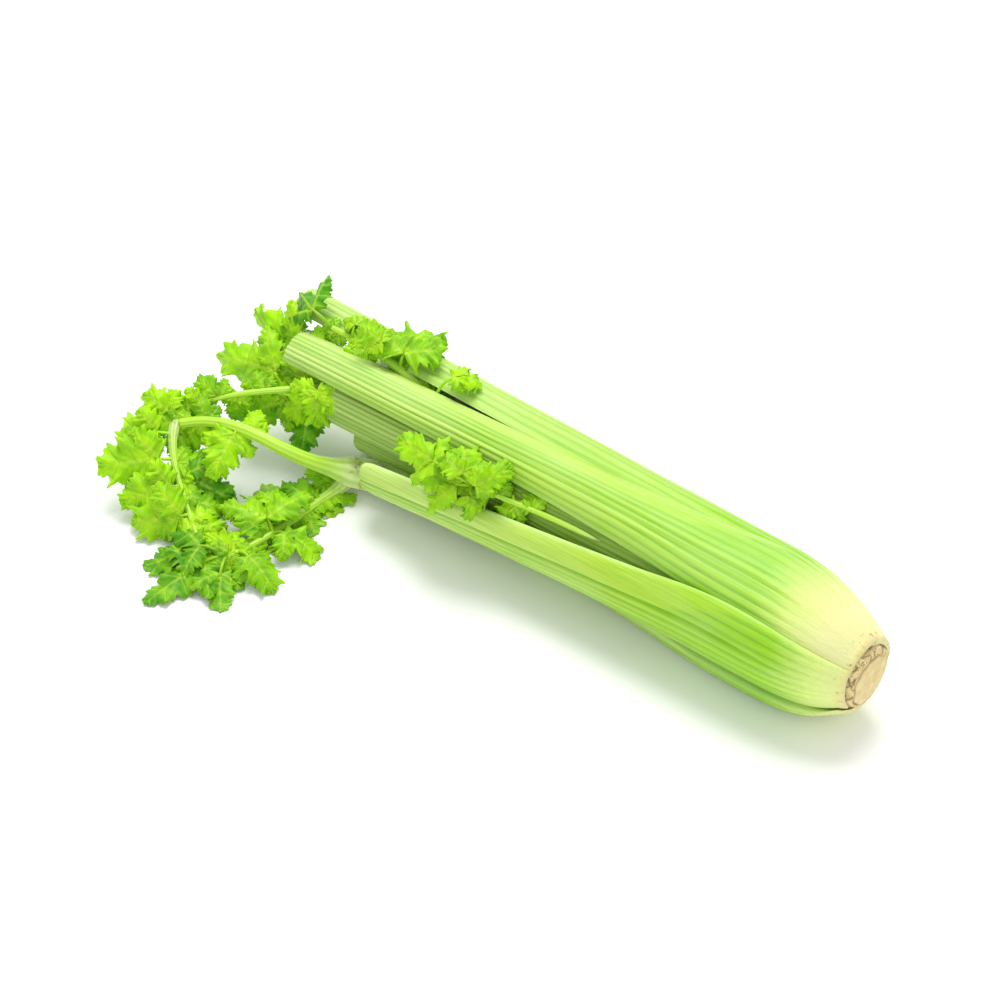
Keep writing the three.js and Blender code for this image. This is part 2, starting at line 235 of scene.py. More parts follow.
class LeafSettings(bpy.types.PropertyGroup):
    """Sizes and colours of the leaf stems and the leaves."""

    thickness: length_property("Thickness", 0.4 * MM, "Thickness of a blade")
    bulge: length_property("Bulge", 0.8 * MM, "How far a blade puffs up between its veins")
    ruffle: bpy.props.FloatProperty(name="Ruffle", description="Waves along the margin", default=0.3, min=0)
    teeth: bpy.props.IntProperty(name="Teeth", description="Teeth along one side", default=10, min=3)
    lime: colour_property("Lime", "aeea00", "Blades in the light")
    # This deeper green is partly painted shade on leaves that lie in shade, partly the darker green of older
    # blades.
    shaded_and_old: colour_property("Dark", "3f8e04", "Older blades")
    vein: colour_property("Vein", "cdf04a", "Veins and the blade's edge")
    dry: colour_property("Dry margin", "6f7a1e", "Dried tips of the teeth")
    stem: colour_property("Stem", "bce848", "Leaf stems")
    # This groove green is painted shade in the grooves of the leaf stems.
    groove: colour_property("Groove", "86c228", "Grooves of the leaf stems")
    foot: colour_property("Foot", "eaf0b8", "Leaf stems where they grow out")
    scar: colour_property("Scar", "9a7b3c", "Browned marks at the foot of a leaf stem")


class ButtSettings(bpy.types.PropertyGroup):
    """Sizes and colours of the cut butt."""

    face_radius: length_property("Core radius", 14.6 * MM, "Radius of the cut core")
    tan: colour_property("Tan", "e3cf92", "Dried cut face")
    pale: colour_property("Pale", "f0dfae", "Blotches on the cut face")
    fibrous: colour_property("Fibrous", "c9a760", "Streaks on the cut face")
    brown: colour_property("Brown", "6d5420", "Browned cracks and rims")


def angle_property(name, degrees, description):
    return bpy.props.FloatProperty(
        name=name, description=description, default=math.radians(degrees), subtype="ANGLE"
    )


class StageSettings(bpy.types.PropertyGroup):
    """The floor, the light and the camera."""

    floor: colour_property("Floor", "ffffff", "Colour of the floor")
    dust: colour_property("Dust", "e8e8e8", "Faint unevenness of the floor")
    azimuth: angle_property("Camera azimuth", 40, "How far round the head the camera stands")
    elevation: angle_property("Camera height", 40, "How steeply the camera looks down")
    distance: length_property("Camera distance", 1.5, "Distance from the middle of the view")
    lens: bpy.props.FloatProperty(name="Lens", description="Focal length in millimetres", default=115.6)
    sky: bpy.props.FloatProperty(name="Sky", description="Strength of the light all round", default=0.7)
    key: bpy.props.FloatProperty(
        name="Key light", description="Strength of the large soft light", default=22.0, unit="POWER"
    )


# ---------------------------------------------------------------- frame shapes

def node_triangles(name):
    """Corners of a frame node's triangles, as an array of shape (count, 3, 3)."""
    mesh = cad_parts[name].data
    mesh.calc_loop_triangles()
    points = np.empty(len(mesh.vertices) * 3, np.float32)
    mesh.vertices.foreach_get("co", points)
    corners = np.empty(len(mesh.loop_triangles) * 3, np.int32)
    mesh.loop_triangles.foreach_get("vertices", corners)
    return points.reshape(-1, 3)[corners].reshape(-1, 3, 3).astype(float)


def outline_at(triangles, place):
    """The closed outline, in order, where the plane x = place cuts a solid."""
    height = triangles[:, :, 0] - place
    crossed = (height.min(1) < 0) & (height.max(1) > 0)
    segments = []
    for corner, level in zip(triangles[crossed], height[crossed]):
        ends = []
        for a, b in ((0, 1), (1, 2), (2, 0)):
            if level[a] * level[b] < 0:
                ends.append(corner[a] + level[a] / (level[a] - level[b]) * (corner[b] - corner[a]))
        if len(ends) == 2:
            segments.append(ends)
    segments = np.array(segments)
    chain = [segments[0, 0], segments[0, 1]]
    left = list(range(1, len(segments)))
    while left:
        gaps = np.linalg.norm(segments[left] - chain[-1], axis=2)
        row, end = divmod(int(gaps.argmin()), 2)
        chain.append(segments[left.pop(row), 1 - end])
    return np.array(chain[:-1])


def evenly(points, count):
    """count points spread evenly along an open line of points."""
    steps = np.linalg.norm(np.diff(points, axis=0), axis=1)
    travelled = np.concatenate([[0], np.cumsum(steps)])
    wanted = np.linspace(0, travelled[-1], count)
    return np.stack([np.interp(wanted, travelled, points[:, k]) for k in range(3)], axis=1)


def halves_of(outline, count):
    """A crescent outline as its back and its hollow side, each from the same thin edge to the other."""
    ring = evenly(np.vstack([outline, outline[:1]]), OUTLINE_POINTS + 1)[:-1]
    flat = ring[:, 1:]
    chord = np.linalg.eigh(np.cov(flat.T))[1][:, 1]
    reach = flat @ chord
    first, last = int(reach.argmin()), int(reach.argmax())
    bulge = flat.mean(0) - (flat[first] + flat[last]) / 2
    if (flat[last] - flat[first]) @ np.array([-bulge[1], bulge[0]]) < 0:
        first, last = last, first
    ring = np.roll(ring, -first, axis=0)
    last = (last - first) % len(ring)
    one = evenly(ring[:last + 1], count)
    two = evenly(np.vstack([ring[last:], ring[:1]])[::-1], count)
    if (one.mean(0) - two.mean(0))[1:] @ bulge < 0:
        one, two = two, one
    return one, two


def smoothed(values, passes, axis=0):
    """Evens out an array along one axis and leaves its two ends where they are."""
    values = np.moveaxis(values, axis, 0).copy()
    for _ in range(passes):
        values[1:-1] = (values[:-2] + 2 * values[1:-1] + values[2:]) / 4
    return np.moveaxis(values, 0, axis)


def along_of(x):
    """Distance from the middle of the butt's rim along the head."""
    return BUTT_BOX[1].x - RIM_DEPTH - x


# ---------------------------------------------------------------- meshes and nodes

def mesh_object(name, points, faces, attributes=()):
    """A new object from points and faces, its faces turned outwards, with named values on its points."""
    mesh = bpy.data.meshes.new(name)
    mesh.from_pydata([tuple(p) for p in points], [], faces)
    for key, values in dict(attributes).items():
        values = np.asarray(values, np.float32)
        is_vector = values.ndim == 2
        made = mesh.attributes.new(key, "FLOAT_VECTOR" if is_vector else "FLOAT", "POINT")
        made.data.foreach_set("vector" if is_vector else "value", values.ravel())
    shape = bmesh.new()
    shape.from_mesh(mesh)
    bmesh.ops.recalc_face_normals(shape, faces=shape.faces)
    shape.to_mesh(mesh)
    shape.free()
    return linked(name, mesh)


def linked(name, data):
    """A new object of the scene."""
    made = bpy.data.objects.new(name, data)
    bpy.context.scene.collection.objects.link(made)
    return made


def ring_faces(rows, around):
    """Faces between rows of points that each go round once."""
    faces = []
    for row in range(rows - 1):
        for step in range(around):
            one, two = row * around + step, row * around + (step + 1) % around
            faces.append((one, two, two + around, one + around))
    return faces


def standing_for(piece, nodes):
    """Fixes a piece to the body and hides the frame nodes it replaces."""
    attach(piece, BODY)
    if nodes:
        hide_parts(*nodes)


def painted(piece, material, slot, nodes):
    """Finishes a piece that needs no modifiers."""
    piece.data.polygons.foreach_set("use_smooth", [True] * len(piece.data.polygons))
    piece.data.materials.append(material)
    standing_for(piece, nodes)


def finished(source, name, nodes):
    """Turns an object and its modifiers into a plain piece that stands for frame nodes."""
    bpy.context.view_layer.update()
    graph = bpy.context.evaluated_depsgraph_get()
    mesh = bpy.data.meshes.new_from_object(source.evaluated_get(graph), depsgraph=graph)
    if not mesh.polygons:
        raise RuntimeError(f"{name} came out empty")
    mesh.name = name
    bpy.data.objects.remove(source)
    standing_for(linked(name, mesh), nodes)


def wired(tree, kind, sockets=(), **settings):
    """Adds a node; each input is linked if its value is a node's output, and set if it isn't."""
    node = tree.nodes.new(kind)
    for key, value in settings.items():
        setattr(node, key, value)
    for key, value in dict(sockets).items():
        if isinstance(value, bpy.types.NodeSocket):
            tree.links.new(value, node.inputs[key])
        else:
            node.inputs[key].default_value = value
    return node


def calc(tree, operation, *values, clamp=False):
    """A sum, product or other calculation of numbers and node outputs."""
    sockets = dict(enumerate(values))
    return wired(tree, "ShaderNodeMath", sockets, operation=operation, use_clamp=clamp).outputs[0]


def times(tree, one, other, clamp=False):
    return calc(tree, "MULTIPLY", one, other, clamp=clamp)


def plus(tree, one, other, clamp=False):
    return calc(tree, "ADD", one, other, clamp=clamp)


def minus(tree, one, other, clamp=False):
    return calc(tree, "SUBTRACT", one, other, clamp=clamp)


def ranged(tree, value, low, high, new_low=0.0, new_high=1.0):
    """Turns low..high into new_low..new_high with soft ends."""
    sockets = {"Value": value, "From Min": low, "From Max": high, "To Min": new_low, "To Max": new_high}
    return wired(tree, "ShaderNodeMapRange", sockets, interpolation_type="SMOOTHSTEP").outputs[0]


def mixed(tree, share, one, other):
    """One colour turning into another by a share."""
    return wired(tree, "ShaderNodeMix", {0: share, 6: one, 7: other}, data_type="RGBA").outputs[2]


def stored(tree, key):
    """A value that is stored on a mesh's points, in a material."""
    return wired(tree, "ShaderNodeAttribute", attribute_name=key).outputs["Fac"]


def geometry_tree(name, inputs):
    """A geometry tree with named numbers and a material to give it, and its first and last node."""
    tree = bpy.data.node_groups.new(name, "GeometryNodeTree")
    tree.interface.new_socket("Geometry", in_out="INPUT", socket_type="NodeSocketGeometry")
    for key, value in inputs.items():
        kind = "NodeSocketInt" if isinstance(value, int) else "NodeSocketFloat"
        tree.interface.new_socket(key, in_out="INPUT", socket_type=kind).default_value = value
    tree.interface.new_socket("Material", in_out="INPUT", socket_type="NodeSocketMaterial")
    tree.interface.new_socket("Geometry", in_out="OUTPUT", socket_type="NodeSocketGeometry")
    return tree, tree.nodes.new("NodeGroupInput"), tree.nodes.new("NodeGroupOutput")


def finish_tree(tree, start, end, geometry):
    """The last steps of every tree: smooth faces, real copies and the material."""
    smooth = wired(tree, "GeometryNodeSetShadeSmooth", {"Geometry": geometry})
    real = wired(tree, "GeometryNodeRealizeInstances", {"Geometry": smooth.outputs[0]})
    painted = wired(
        tree, "GeometryNodeSetMaterial", {"Geometry": real.outputs[0], "Material": start.outputs["Material"]}
    )
    tree.links.new(painted.outputs[0], end.inputs[0])


def grown(source, tree, values):
    """Puts a geometry tree on an object with its own values for the tree's named inputs."""
    modifier = source.modifiers.new(tree.name, "NODES")
    modifier.node_group = tree
    for item in tree.interface.items_tree:
        if item.item_type == "SOCKET" and item.in_out == "INPUT" and item.name in values:
            modifier[item.identifier] = values[item.name]
    return source


def named_value(tree, key, kind="FLOAT"):
    """A value that is stored on a mesh's points, in a geometry tree."""
    return wired(tree, "GeometryNodeInputNamedAttribute", {"Name": key}, data_type=kind).outputs[0]


# ---------------------------------------------------------------- shared effects of the materials

def effect_group(name, inputs, outputs):
    """An empty shader node group with named numbers in and out, and its first and last node."""
    tree = bpy.data.node_groups.new(name, "ShaderNodeTree")
    for key, value in inputs.items():
        tree.interface.new_socket(key, in_out="INPUT", socket_type="NodeSocketFloat").default_value = value
    for key in outputs:
        tree.interface.new_socket(key, in_out="OUTPUT", socket_type="NodeSocketFloat")
    return tree, tree.nodes.new("NodeGroupInput"), tree.nodes.new("NodeGroupOutput")


def fibre_group():
    """Fine streaks that run with the fibres, and soft blotches."""
    tree, start, end = effect_group(
        "Fibres", {"Across": 900.0, "Along": 14.0, "Blotches": 60.0}, ["Streak", "Blotch", "Pore"]
    )
    place = wired(tree, "ShaderNodeTexCoord").outputs["Object"]
    given = start.outputs
    stretch = wired(tree, "ShaderNodeCombineXYZ", {0: given["Along"], 1: given["Across"], 2: given["Across"]})
    long = wired(tree, "ShaderNodeVectorMath", {0: place, 1: stretch.outputs[0]}, operation="MULTIPLY")
    streak = wired(tree, "ShaderNodeTexNoise", {"Vector": long.outputs[0], "Scale": 1.0, "Detail": 3.0})
    drawn = wired(tree, "ShaderNodeVectorMath", {0: place, 1: (0.3, 1.0, 1.0)}, operation="MULTIPLY")
    blotch = wired(
        tree, "ShaderNodeTexNoise", {"Vector": drawn.outputs[0], "Scale": given["Blotches"], "Detail": 4.0}
    )
    pore = wired(tree, "ShaderNodeTexVoronoi", {"Vector": place, "Scale": 1900.0})
    tree.links.new(ranged(tree, streak.outputs["Fac"], 0.3, 0.7), end.inputs["Streak"])
    tree.links.new(ranged(tree, blotch.outputs["Fac"], 0.32, 0.68), end.inputs["Blotch"])
    tree.links.new(ranged(tree, pore.outputs["Distance"], 0.0, 0.5), end.inputs["Pore"])
    return tree


def browning_group():
    """Ragged marks where the plant has dried: Amount says how much of Where they cover."""
    tree, start, end = effect_group("Browning", {"Where": 0.0, "Amount": 0.5, "Size": 220.0}, ["Mask"])
    place = wired(tree, "ShaderNodeTexCoord").outputs["Object"]
    ragged = wired(tree, "ShaderNodeTexNoise", {
        "Vector": place, "Scale": start.outputs["Size"], "Detail": 6.0, "Roughness": 0.65,
    })
    level = minus(tree, 0.78, times(tree, start.outputs["Amount"], 0.5))
    over = minus(tree, ragged.outputs["Fac"], level)
    spots = times(tree, over, 9.0, clamp=True)
    tree.links.new(times(tree, spots, start.outputs["Where"], clamp=True), end.inputs["Mask"])
    return tree


EFFECTS = {"Fibres": fibre_group, "Browning": browning_group}


def placed(tree, name, values=()):
    """One use of a shared effect, which is built the first time; returns its outputs."""
    group = bpy.data.node_groups.get(name) or EFFECTS[name]()
    return wired(tree, "ShaderNodeGroup", values, node_tree=group).outputs


def plant_material(name, constants):
    """A new material; returns its tree and its surface shader with the constant values set."""
    material = bpy.data.materials.new(name)
    material.use_nodes = True
    tree = material.node_tree
    shader = tree.nodes["Principled BSDF"]
    for key, value in constants.items():
        shader.inputs[key].default_value = value
    return material, tree, shader


def surfaced(tree, shader, colour, rough, relief, strength, depth):
    """Joins a colour, a roughness and a relief to the surface shader."""
    bump = wired(tree, "ShaderNodeBump", {"Height": relief, "Strength": strength, "Distance": depth})
    for key, value in (("Base Color", colour), ("Roughness", rough), ("Normal", bump.outputs[0])):
        tree.links.new(value, shader.inputs[key])


STALK_CONSTANTS = {
    "Subsurface Weight": 0.12,
    "Subsurface Radius": (0.6, 1.0, 0.2),
    "Subsurface Scale": 0.004,
    "Coat Weight": 0.1,
    "Coat Roughness": 0.3,
    "IOR": 1.36,
}
# Distance from the butt over which the skin's colour changes.
RAMP_LENGTH = 350 * MM


def stalk_material(name, settings, brightness):
    """Skin of a stalk: cream at the butt, green above, with painted shade in the grooves and along the deep
    groove line, pale inside, and darkened as a whole by its kind's painted shade.
    """
    material, tree, shader = plant_material(name, STALK_CONSTANTS)
    along, tone, rib, back, cut = (stored(tree, key) for key in ("along", "tone", "rib", "back", "cut"))
    grain = placed(tree, "Fibres")
    graded = wired(tree, "ShaderNodeValToRGB", {0: times(tree, tone, 1 / RAMP_LENGTH)})
    stops = [
        (0.04, settings.cream),
        (0.095, settings.young),
        (0.155, settings.lively),
        (0.42, settings.green),
        (0.92, settings.pale_green),
    ]
    ramp = graded.color_ramp.elements
    ramp.remove(ramp[1])
    ramp[0].color = settings.cream
    for place, colour in stops:
        ramp.new(place).color = colour
    skin = graded.outputs[0]
    greener = ranged(tree, tone, 0.012, 0.06)
    # Painted shade in the grooves: the skin turns to the deep green where the stored rib value is low.
    groove = times(tree, minus(tree, 1.0, rib, clamp=True), greener)
    skin = mixed(tree, times(tree, groove, 0.85), skin, settings.groove_shade_and_streak)
    streak = times(tree, grain["Streak"], times(tree, greener, 0.35))
    skin = mixed(tree, streak, skin, settings.groove_shade_and_streak)
    pale = times(tree, grain["Blotch"], 0.22)
    skin = mixed(tree, pale, skin, settings.sheen)
    hollow = minus(tree, 1.0, back, clamp=True)
    skin = mixed(tree, times(tree, hollow, 0.55), skin, settings.sheen)
    flesh = mixed(tree, times(tree, grain["Pore"], 0.5), settings.flesh, settings.sheen)
    skin = mixed(tree, cut, skin, flesh)
    ragged = plus(tree, along, times(tree, grain["Blotch"], 3 * MM))
    tanned = ranged(tree, ragged, 0.0, 7 * MM, 1.0, 0.0)
    skin = mixed(tree, times(tree, tanned, 0.75), skin, settings.dried)
    near_butt = ranged(tree, along, 0.0, 8 * MM, 1.0, 0.0)
    marks = placed(tree, "Browning", {"Where": near_butt, "Amount": 0.42, "Size": 420.0})["Mask"]
    skin = mixed(tree, times(tree, marks, 0.8), skin, settings.speck)
    # Painted shade: the middle, inner and heart stalks are made darker as a whole, standing for the shade
    # between the outer stalks.
    kind_shaded = wired(tree, "ShaderNodeHueSaturation", {"Color": skin, "Value": brightness})
    rough = plus(tree, 0.3, times(tree, grain["Blotch"], 0.16))
    relief = plus(tree, grain["Streak"], times(tree, grain["Pore"], 0.3))
    surfaced(tree, shader, kind_shaded.outputs[0], rough, relief, 0.35, 0.4 * MM)
    return material


def leaf_material(name, settings):
    """A blade: lime to a deeper green, partly painted shade and partly the green of older leaves, with pale
    veins and margins and a few dry tips.
    """
    constants = {
        "Subsurface Weight": 0.25,
        "Subsurface Radius": (0.5, 1.0, 0.1),
        "Subsurface Scale": 0.002,
        "Specular IOR Level": 0.2,
    }
    material, tree, shader = plant_material(name, constants)
    vein, margin, shade_and_age = (stored(tree, key) for key in ("vein", "margin", "shade_and_age"))
    grain = placed(tree, "Fibres", {"Across": 500.0, "Along": 500.0, "Blotches": 160.0})
    patchy = times(tree, grain["Blotch"], 0.4)
    # Painted shade and older green: each leaf is turned towards the deeper green by its stored value, with
    # random patches.
    deep = plus(tree, times(tree, shade_and_age, 0.75), patchy, clamp=True)
    blade = mixed(tree, deep, settings.lime, settings.shaded_and_old)
    blade = mixed(tree, times(tree, grain["Streak"], 0.1), blade, settings.vein)
    blade = mixed(tree, times(tree, vein, 0.45), blade, settings.vein)
    blade = mixed(tree, times(tree, ranged(tree, margin, 0.85, 1.0), 0.2), blade, settings.vein)
    dry = placed(tree, "Browning", {"Where": ranged(tree, margin, 0.8, 1.0), "Amount": 0.35})["Mask"]
    blade = mixed(tree, dry, blade, settings.dry)
    rough = plus(tree, 0.36, times(tree, grain["Blotch"], 0.14))
    relief = plus(tree, vein, times(tree, grain["Streak"], 0.4))
    surfaced(tree, shader, blade, rough, relief, 0.5, 0.3 * MM)
    return material


def stem_material(name, settings):
    """A leaf stem: light green with faint streaks, paler where it grows out."""
    material, tree, shader = plant_material(name, STALK_CONSTANTS)
    rib, foot = stored(tree, "rib"), stored(tree, "foot")
    grain = placed(tree, "Fibres", {"Across": 400.0, "Along": 60.0, "Blotches": 90.0})
    skin = mixed(tree, times(tree, grain["Blotch"], 0.4), settings.stem, settings.vein)
    skin = mixed(tree, times(tree, foot, 0.7), skin, settings.foot)
    # Painted shade in the grooves between the ribs of the stem.
    skin = mixed(tree, times(tree, rib, 0.5), skin, settings.groove)
    marks = placed(tree, "Browning", {"Where": foot, "Amount": 0.45})["Mask"]
    skin = mixed(tree, times(tree, marks, 0.6), skin, settings.scar)
    rough = plus(tree, 0.32, times(tree, grain["Streak"], 0.12))
    surfaced(tree, shader, skin, rough, grain["Streak"], 0.3, 0.3 * MM)
    return material


def butt_material(name, settings):
    """The cut face: dry tan flesh, a brown crack round the core, and browned specks."""
    constants = {"Subsurface Weight": 0.08, "Subsurface Scale": 0.003, "IOR": 1.4}
    material, tree, shader = plant_material(name, constants)
    crack, rim = stored(tree, "crack"), stored(tree, "rim")
    grain = placed(tree, "Fibres", {"Across": 260.0, "Along": 260.0, "Blotches": 120.0})
    face = mixed(tree, times(tree, grain["Blotch"], 0.6), settings.tan, settings.pale)
    face = mixed(tree, times(tree, grain["Streak"], 0.3), face, settings.fibrous)
    marks = placed(tree, "Browning", {"Where": rim, "Amount": 0.62, "Size": 480.0})["Mask"]
    brown = calc(tree, "MAXIMUM", crack, times(tree, marks, 0.8))
    face = mixed(tree, brown, face, settings.brown)
    rough = plus(tree, 0.62, times(tree, grain["Streak"], 0.2))
    relief = plus(tree, grain["Streak"], times(tree, grain["Blotch"], 1.5))
    surfaced(tree, shader, face, rough, relief, 0.6, 0.6 * MM)
    return material


# ---------------------------------------------------------------- stalks

# Rows of points across a cut end, from the back of the stalk to its hollow side.
CAP_ROWS = (0.08, 0.3, 0.5, 0.7, 0.92)
# Distances from the free end, in millimetres, of the sections that round it off.
END_ROWS = (9.0, 6.0, 4.0, 2.5, 1.4, 0.6, 0.05)
SMOOTHING = 2
# Edges of the stalks that wrap further round, or less far, than the plain solids: which edge,
# how much further, how far outwards, and up to which distance from the butt, in millimetres.
WRAPS = {
    "stalk_front_upper": ((0, 7.0, -1.2, 400),),
    "stalk_back_upper": ((1, 7.0, -0.8, 400),),
    "stalk_middle_top": ((0, 5.0, 0.0, 400),),
    "stalk_middle_back": ((1, 4.0, 0.5, 400),),
    "stalk_front_lower": ((1, 7.5, 2.5, 135),),
    "stalk_under": ((0, -9.0, -1.5, 160),),
}
# How much nearer to the butt the green and the ribs of a stalk begin, in millimetres.
GREEN_SHIFTS = {"stalk_front_lower": 20.0, "stalk_under": 14.0, "stalk_back_lower": 8.0}
# How the free ends round off: over which length, and to how much less than their full size.
ROUND_ENDS = {"stalk_front_lower": (8.0, 0.24), "stalk_middle_leafy": (9.0, 0.3)}
ROUND_END = (3.0, 0.12)
ROUND_SPAN = 0.97
# How much of the rounding is reached at the cut itself.
CUT_ROUNDING = 0.76
# Stalks with a smooth flank: how much of the back is smooth, and how deep its groove is, which also sets how
# strong the painted shadow line along the groove is.
SMOOTH_FLANKS = {"stalk_front_upper": (0.3, 0.1), "stalk_front_lower": (0.36, 1.0)}
GROOVE_DEPTH = 1.1 * MM
# How the butt end of an outer stalk turns in: how far past its end in millimetres, and how much
# of its full size is left there.
LIP_STEPS = ((1.0, 0.99), (2.1, 0.965), (2.9, 0.93))


def stalk_rows(name, columns, rows, has_lip):
    """Sections of a stalk from the butt end to the cut end: its back and its hollow side."""
    triangles = node_triangles(name)
    low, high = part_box(name)
    length = high.x - low.x
    shares = np.linspace(0.01, 1, rows) ** 1.5
    ends = [1 - gap * MM / length for gap in END_ROWS]
    shares = np.concatenate([shares[shares < 1 - 11 * MM / length], ends])
    shares[0] = 0.05 * MM / length
    pairs = [halves_of(outline_at(triangles, high.x - share * length), columns + 1) for share in shares]
    back = smoothed(np.array([pair[0] for pair in pairs]), SMOOTHING)
    hollow = smoothed(np.array([pair[1] for pair in pairs]), SMOOTHING)
    for edge, further, outward, until in WRAPS.get(name, ()):
        back, hollow = wrapped(back, hollow, edge, further * MM, outward * MM, until * MM)
    back, hollow = rounded(back, hollow, low.x, *ROUND_ENDS.get(name, ROUND_END))
    if not has_lip:
        return back, hollow
    centre = np.array((BUTT_BOX[0] + BUTT_BOX[1]) / 2)
    bases = back[0].copy(), hollow[0].copy()
    for further, scale in LIP_STEPS:
        lips = [centre + (base - centre) * scale for base in bases]
        for lip in lips:
            lip[:, 0] = high.x + further * MM
        back, hollow = (np.concatenate([lip[None], half]) for lip, half in zip(lips, (back, hollow)))
    return back, hollow


def rounded(back, hollow, end, length, share):
    """Draws the free end of a stalk in, like a dome that is cut off."""
    middle = (back.mean(1) + hollow.mean(1)) / 2
    past = np.clip(1 - (back[:, 0, 0] - end) / (length * MM), 0, 1)
    scale = (1 - share * (1 - np.sqrt(1 - (past * ROUND_SPAN) ** 2)))[:, None, None]
    return tuple(middle[:, None] + (half - middle[:, None]) * scale for half in (back, hollow))


def wrapped(back, hollow, edge, further, outward, until):
    """Draws one edge of a stalk further round, except close to the butt."""
    tip, before = (-1, -4) if edge else (0, 3)
    ahead = back[:, tip] - back[:, before]
    ahead /= np.linalg.norm(ahead, axis=-1, keepdims=True)
    out = outward_of(back, hollow)[:, before]
    columns = back.shape[1]
    place = np.linspace(0, 1, columns)
    near = np.clip(1 - (1 - place if edge else place) / 0.4, 0, 1) ** 1.5
    along = along_of(back[:, 0, 0])
    free = np.clip((along - 2 * MM) / (16 * MM), 0, 1) * np.clip((until - along) / (40 * MM), 0, 1)
    shift = (ahead * further + out * outward)[:, None] * near[None, :, None] * free[:, None, None]
    return back + shift, hollow + shift


def outward_of(back, hollow):
    """Directions across the stalk, away from its hollow side, for each point of its back."""
    along_back = np.gradient(back, axis=1)
    away = np.stack([np.zeros_like(along_back[..., 0]), -along_back[..., 2], along_back[..., 1]], axis=-1)
    away /= np.maximum(np.linalg.norm(away, axis=-1, keepdims=True), 1e-9)
    middle = back.shape[1] // 2
    if (away[:, middle] * (back - hollow)[:, middle]).sum() < 0:
        away = -away
    return away


def stalk_skin(name, columns, rows, has_lip):
    """The coarse closed skin of a stalk, with the values that its ribs and its colours need."""
    back, hollow = stalk_rows(name, columns, rows, has_lip)
    outward = outward_of(back, hollow)
    count, around = len(back), 2 * columns
    points, across, is_back, cut, out = [], [], [], [], []
    for row in range(count):
        points += list(back[row]) + list(hollow[row, -2:0:-1])
        across += [i / columns for i in range(columns + 1)]
        across += [i / columns for i in range(columns - 1, 0, -1)]
        is_back += [0.5] + [1.0] * (columns - 1) + [0.5] + [0.0] * (columns - 1)
        cut += [0.0] * around
        out += list(outward[row]) + [np.zeros(3)] * (columns - 1)
    faces = ring_faces(count, around)
    for row in (0, count - 1):
        first = len(points)
        for i in range(1, columns):
            for share in CAP_ROWS:
                points.append(back[row, i] * (1 - share) + hollow[row, i] * share)
                across.append(i / columns)
                is_back.append(1 - share)
                cut.append(1.0)
                out.append(outward[row, i] * (1 - share) ** 2)
        faces += cap_faces(columns, row * around, first)
    along = [along_of(p[0]) for p in points]
    tone = [value + GREEN_SHIFTS.get(name, 0.0) * MM for value in along]
    return mesh_object(name + "_coarse", points, faces, {
        "across": across, "back": is_back, "cut": cut, "out": out, "along": along, "tone": tone,
    })


def cap_faces(columns, ring, first):
    """Faces that close one end of a skin, from its back to its hollow side."""
    deep = len(CAP_ROWS)

    def index(i, k):
        if i in (0, columns) or k == 0:
            return ring + i
        if k == deep + 1:
            return ring + 2 * columns - i
        return first + (i - 1) * deep + k - 1

    faces = []
    for i in range(columns):
        for k in range(deep + 1):
            corners = [index(i, k), index(i + 1, k), index(i + 1, k + 1), index(i, k + 1)]
            faces.append(tuple(dict.fromkeys(corners)))
    return [face for face in faces if len(face) > 2]


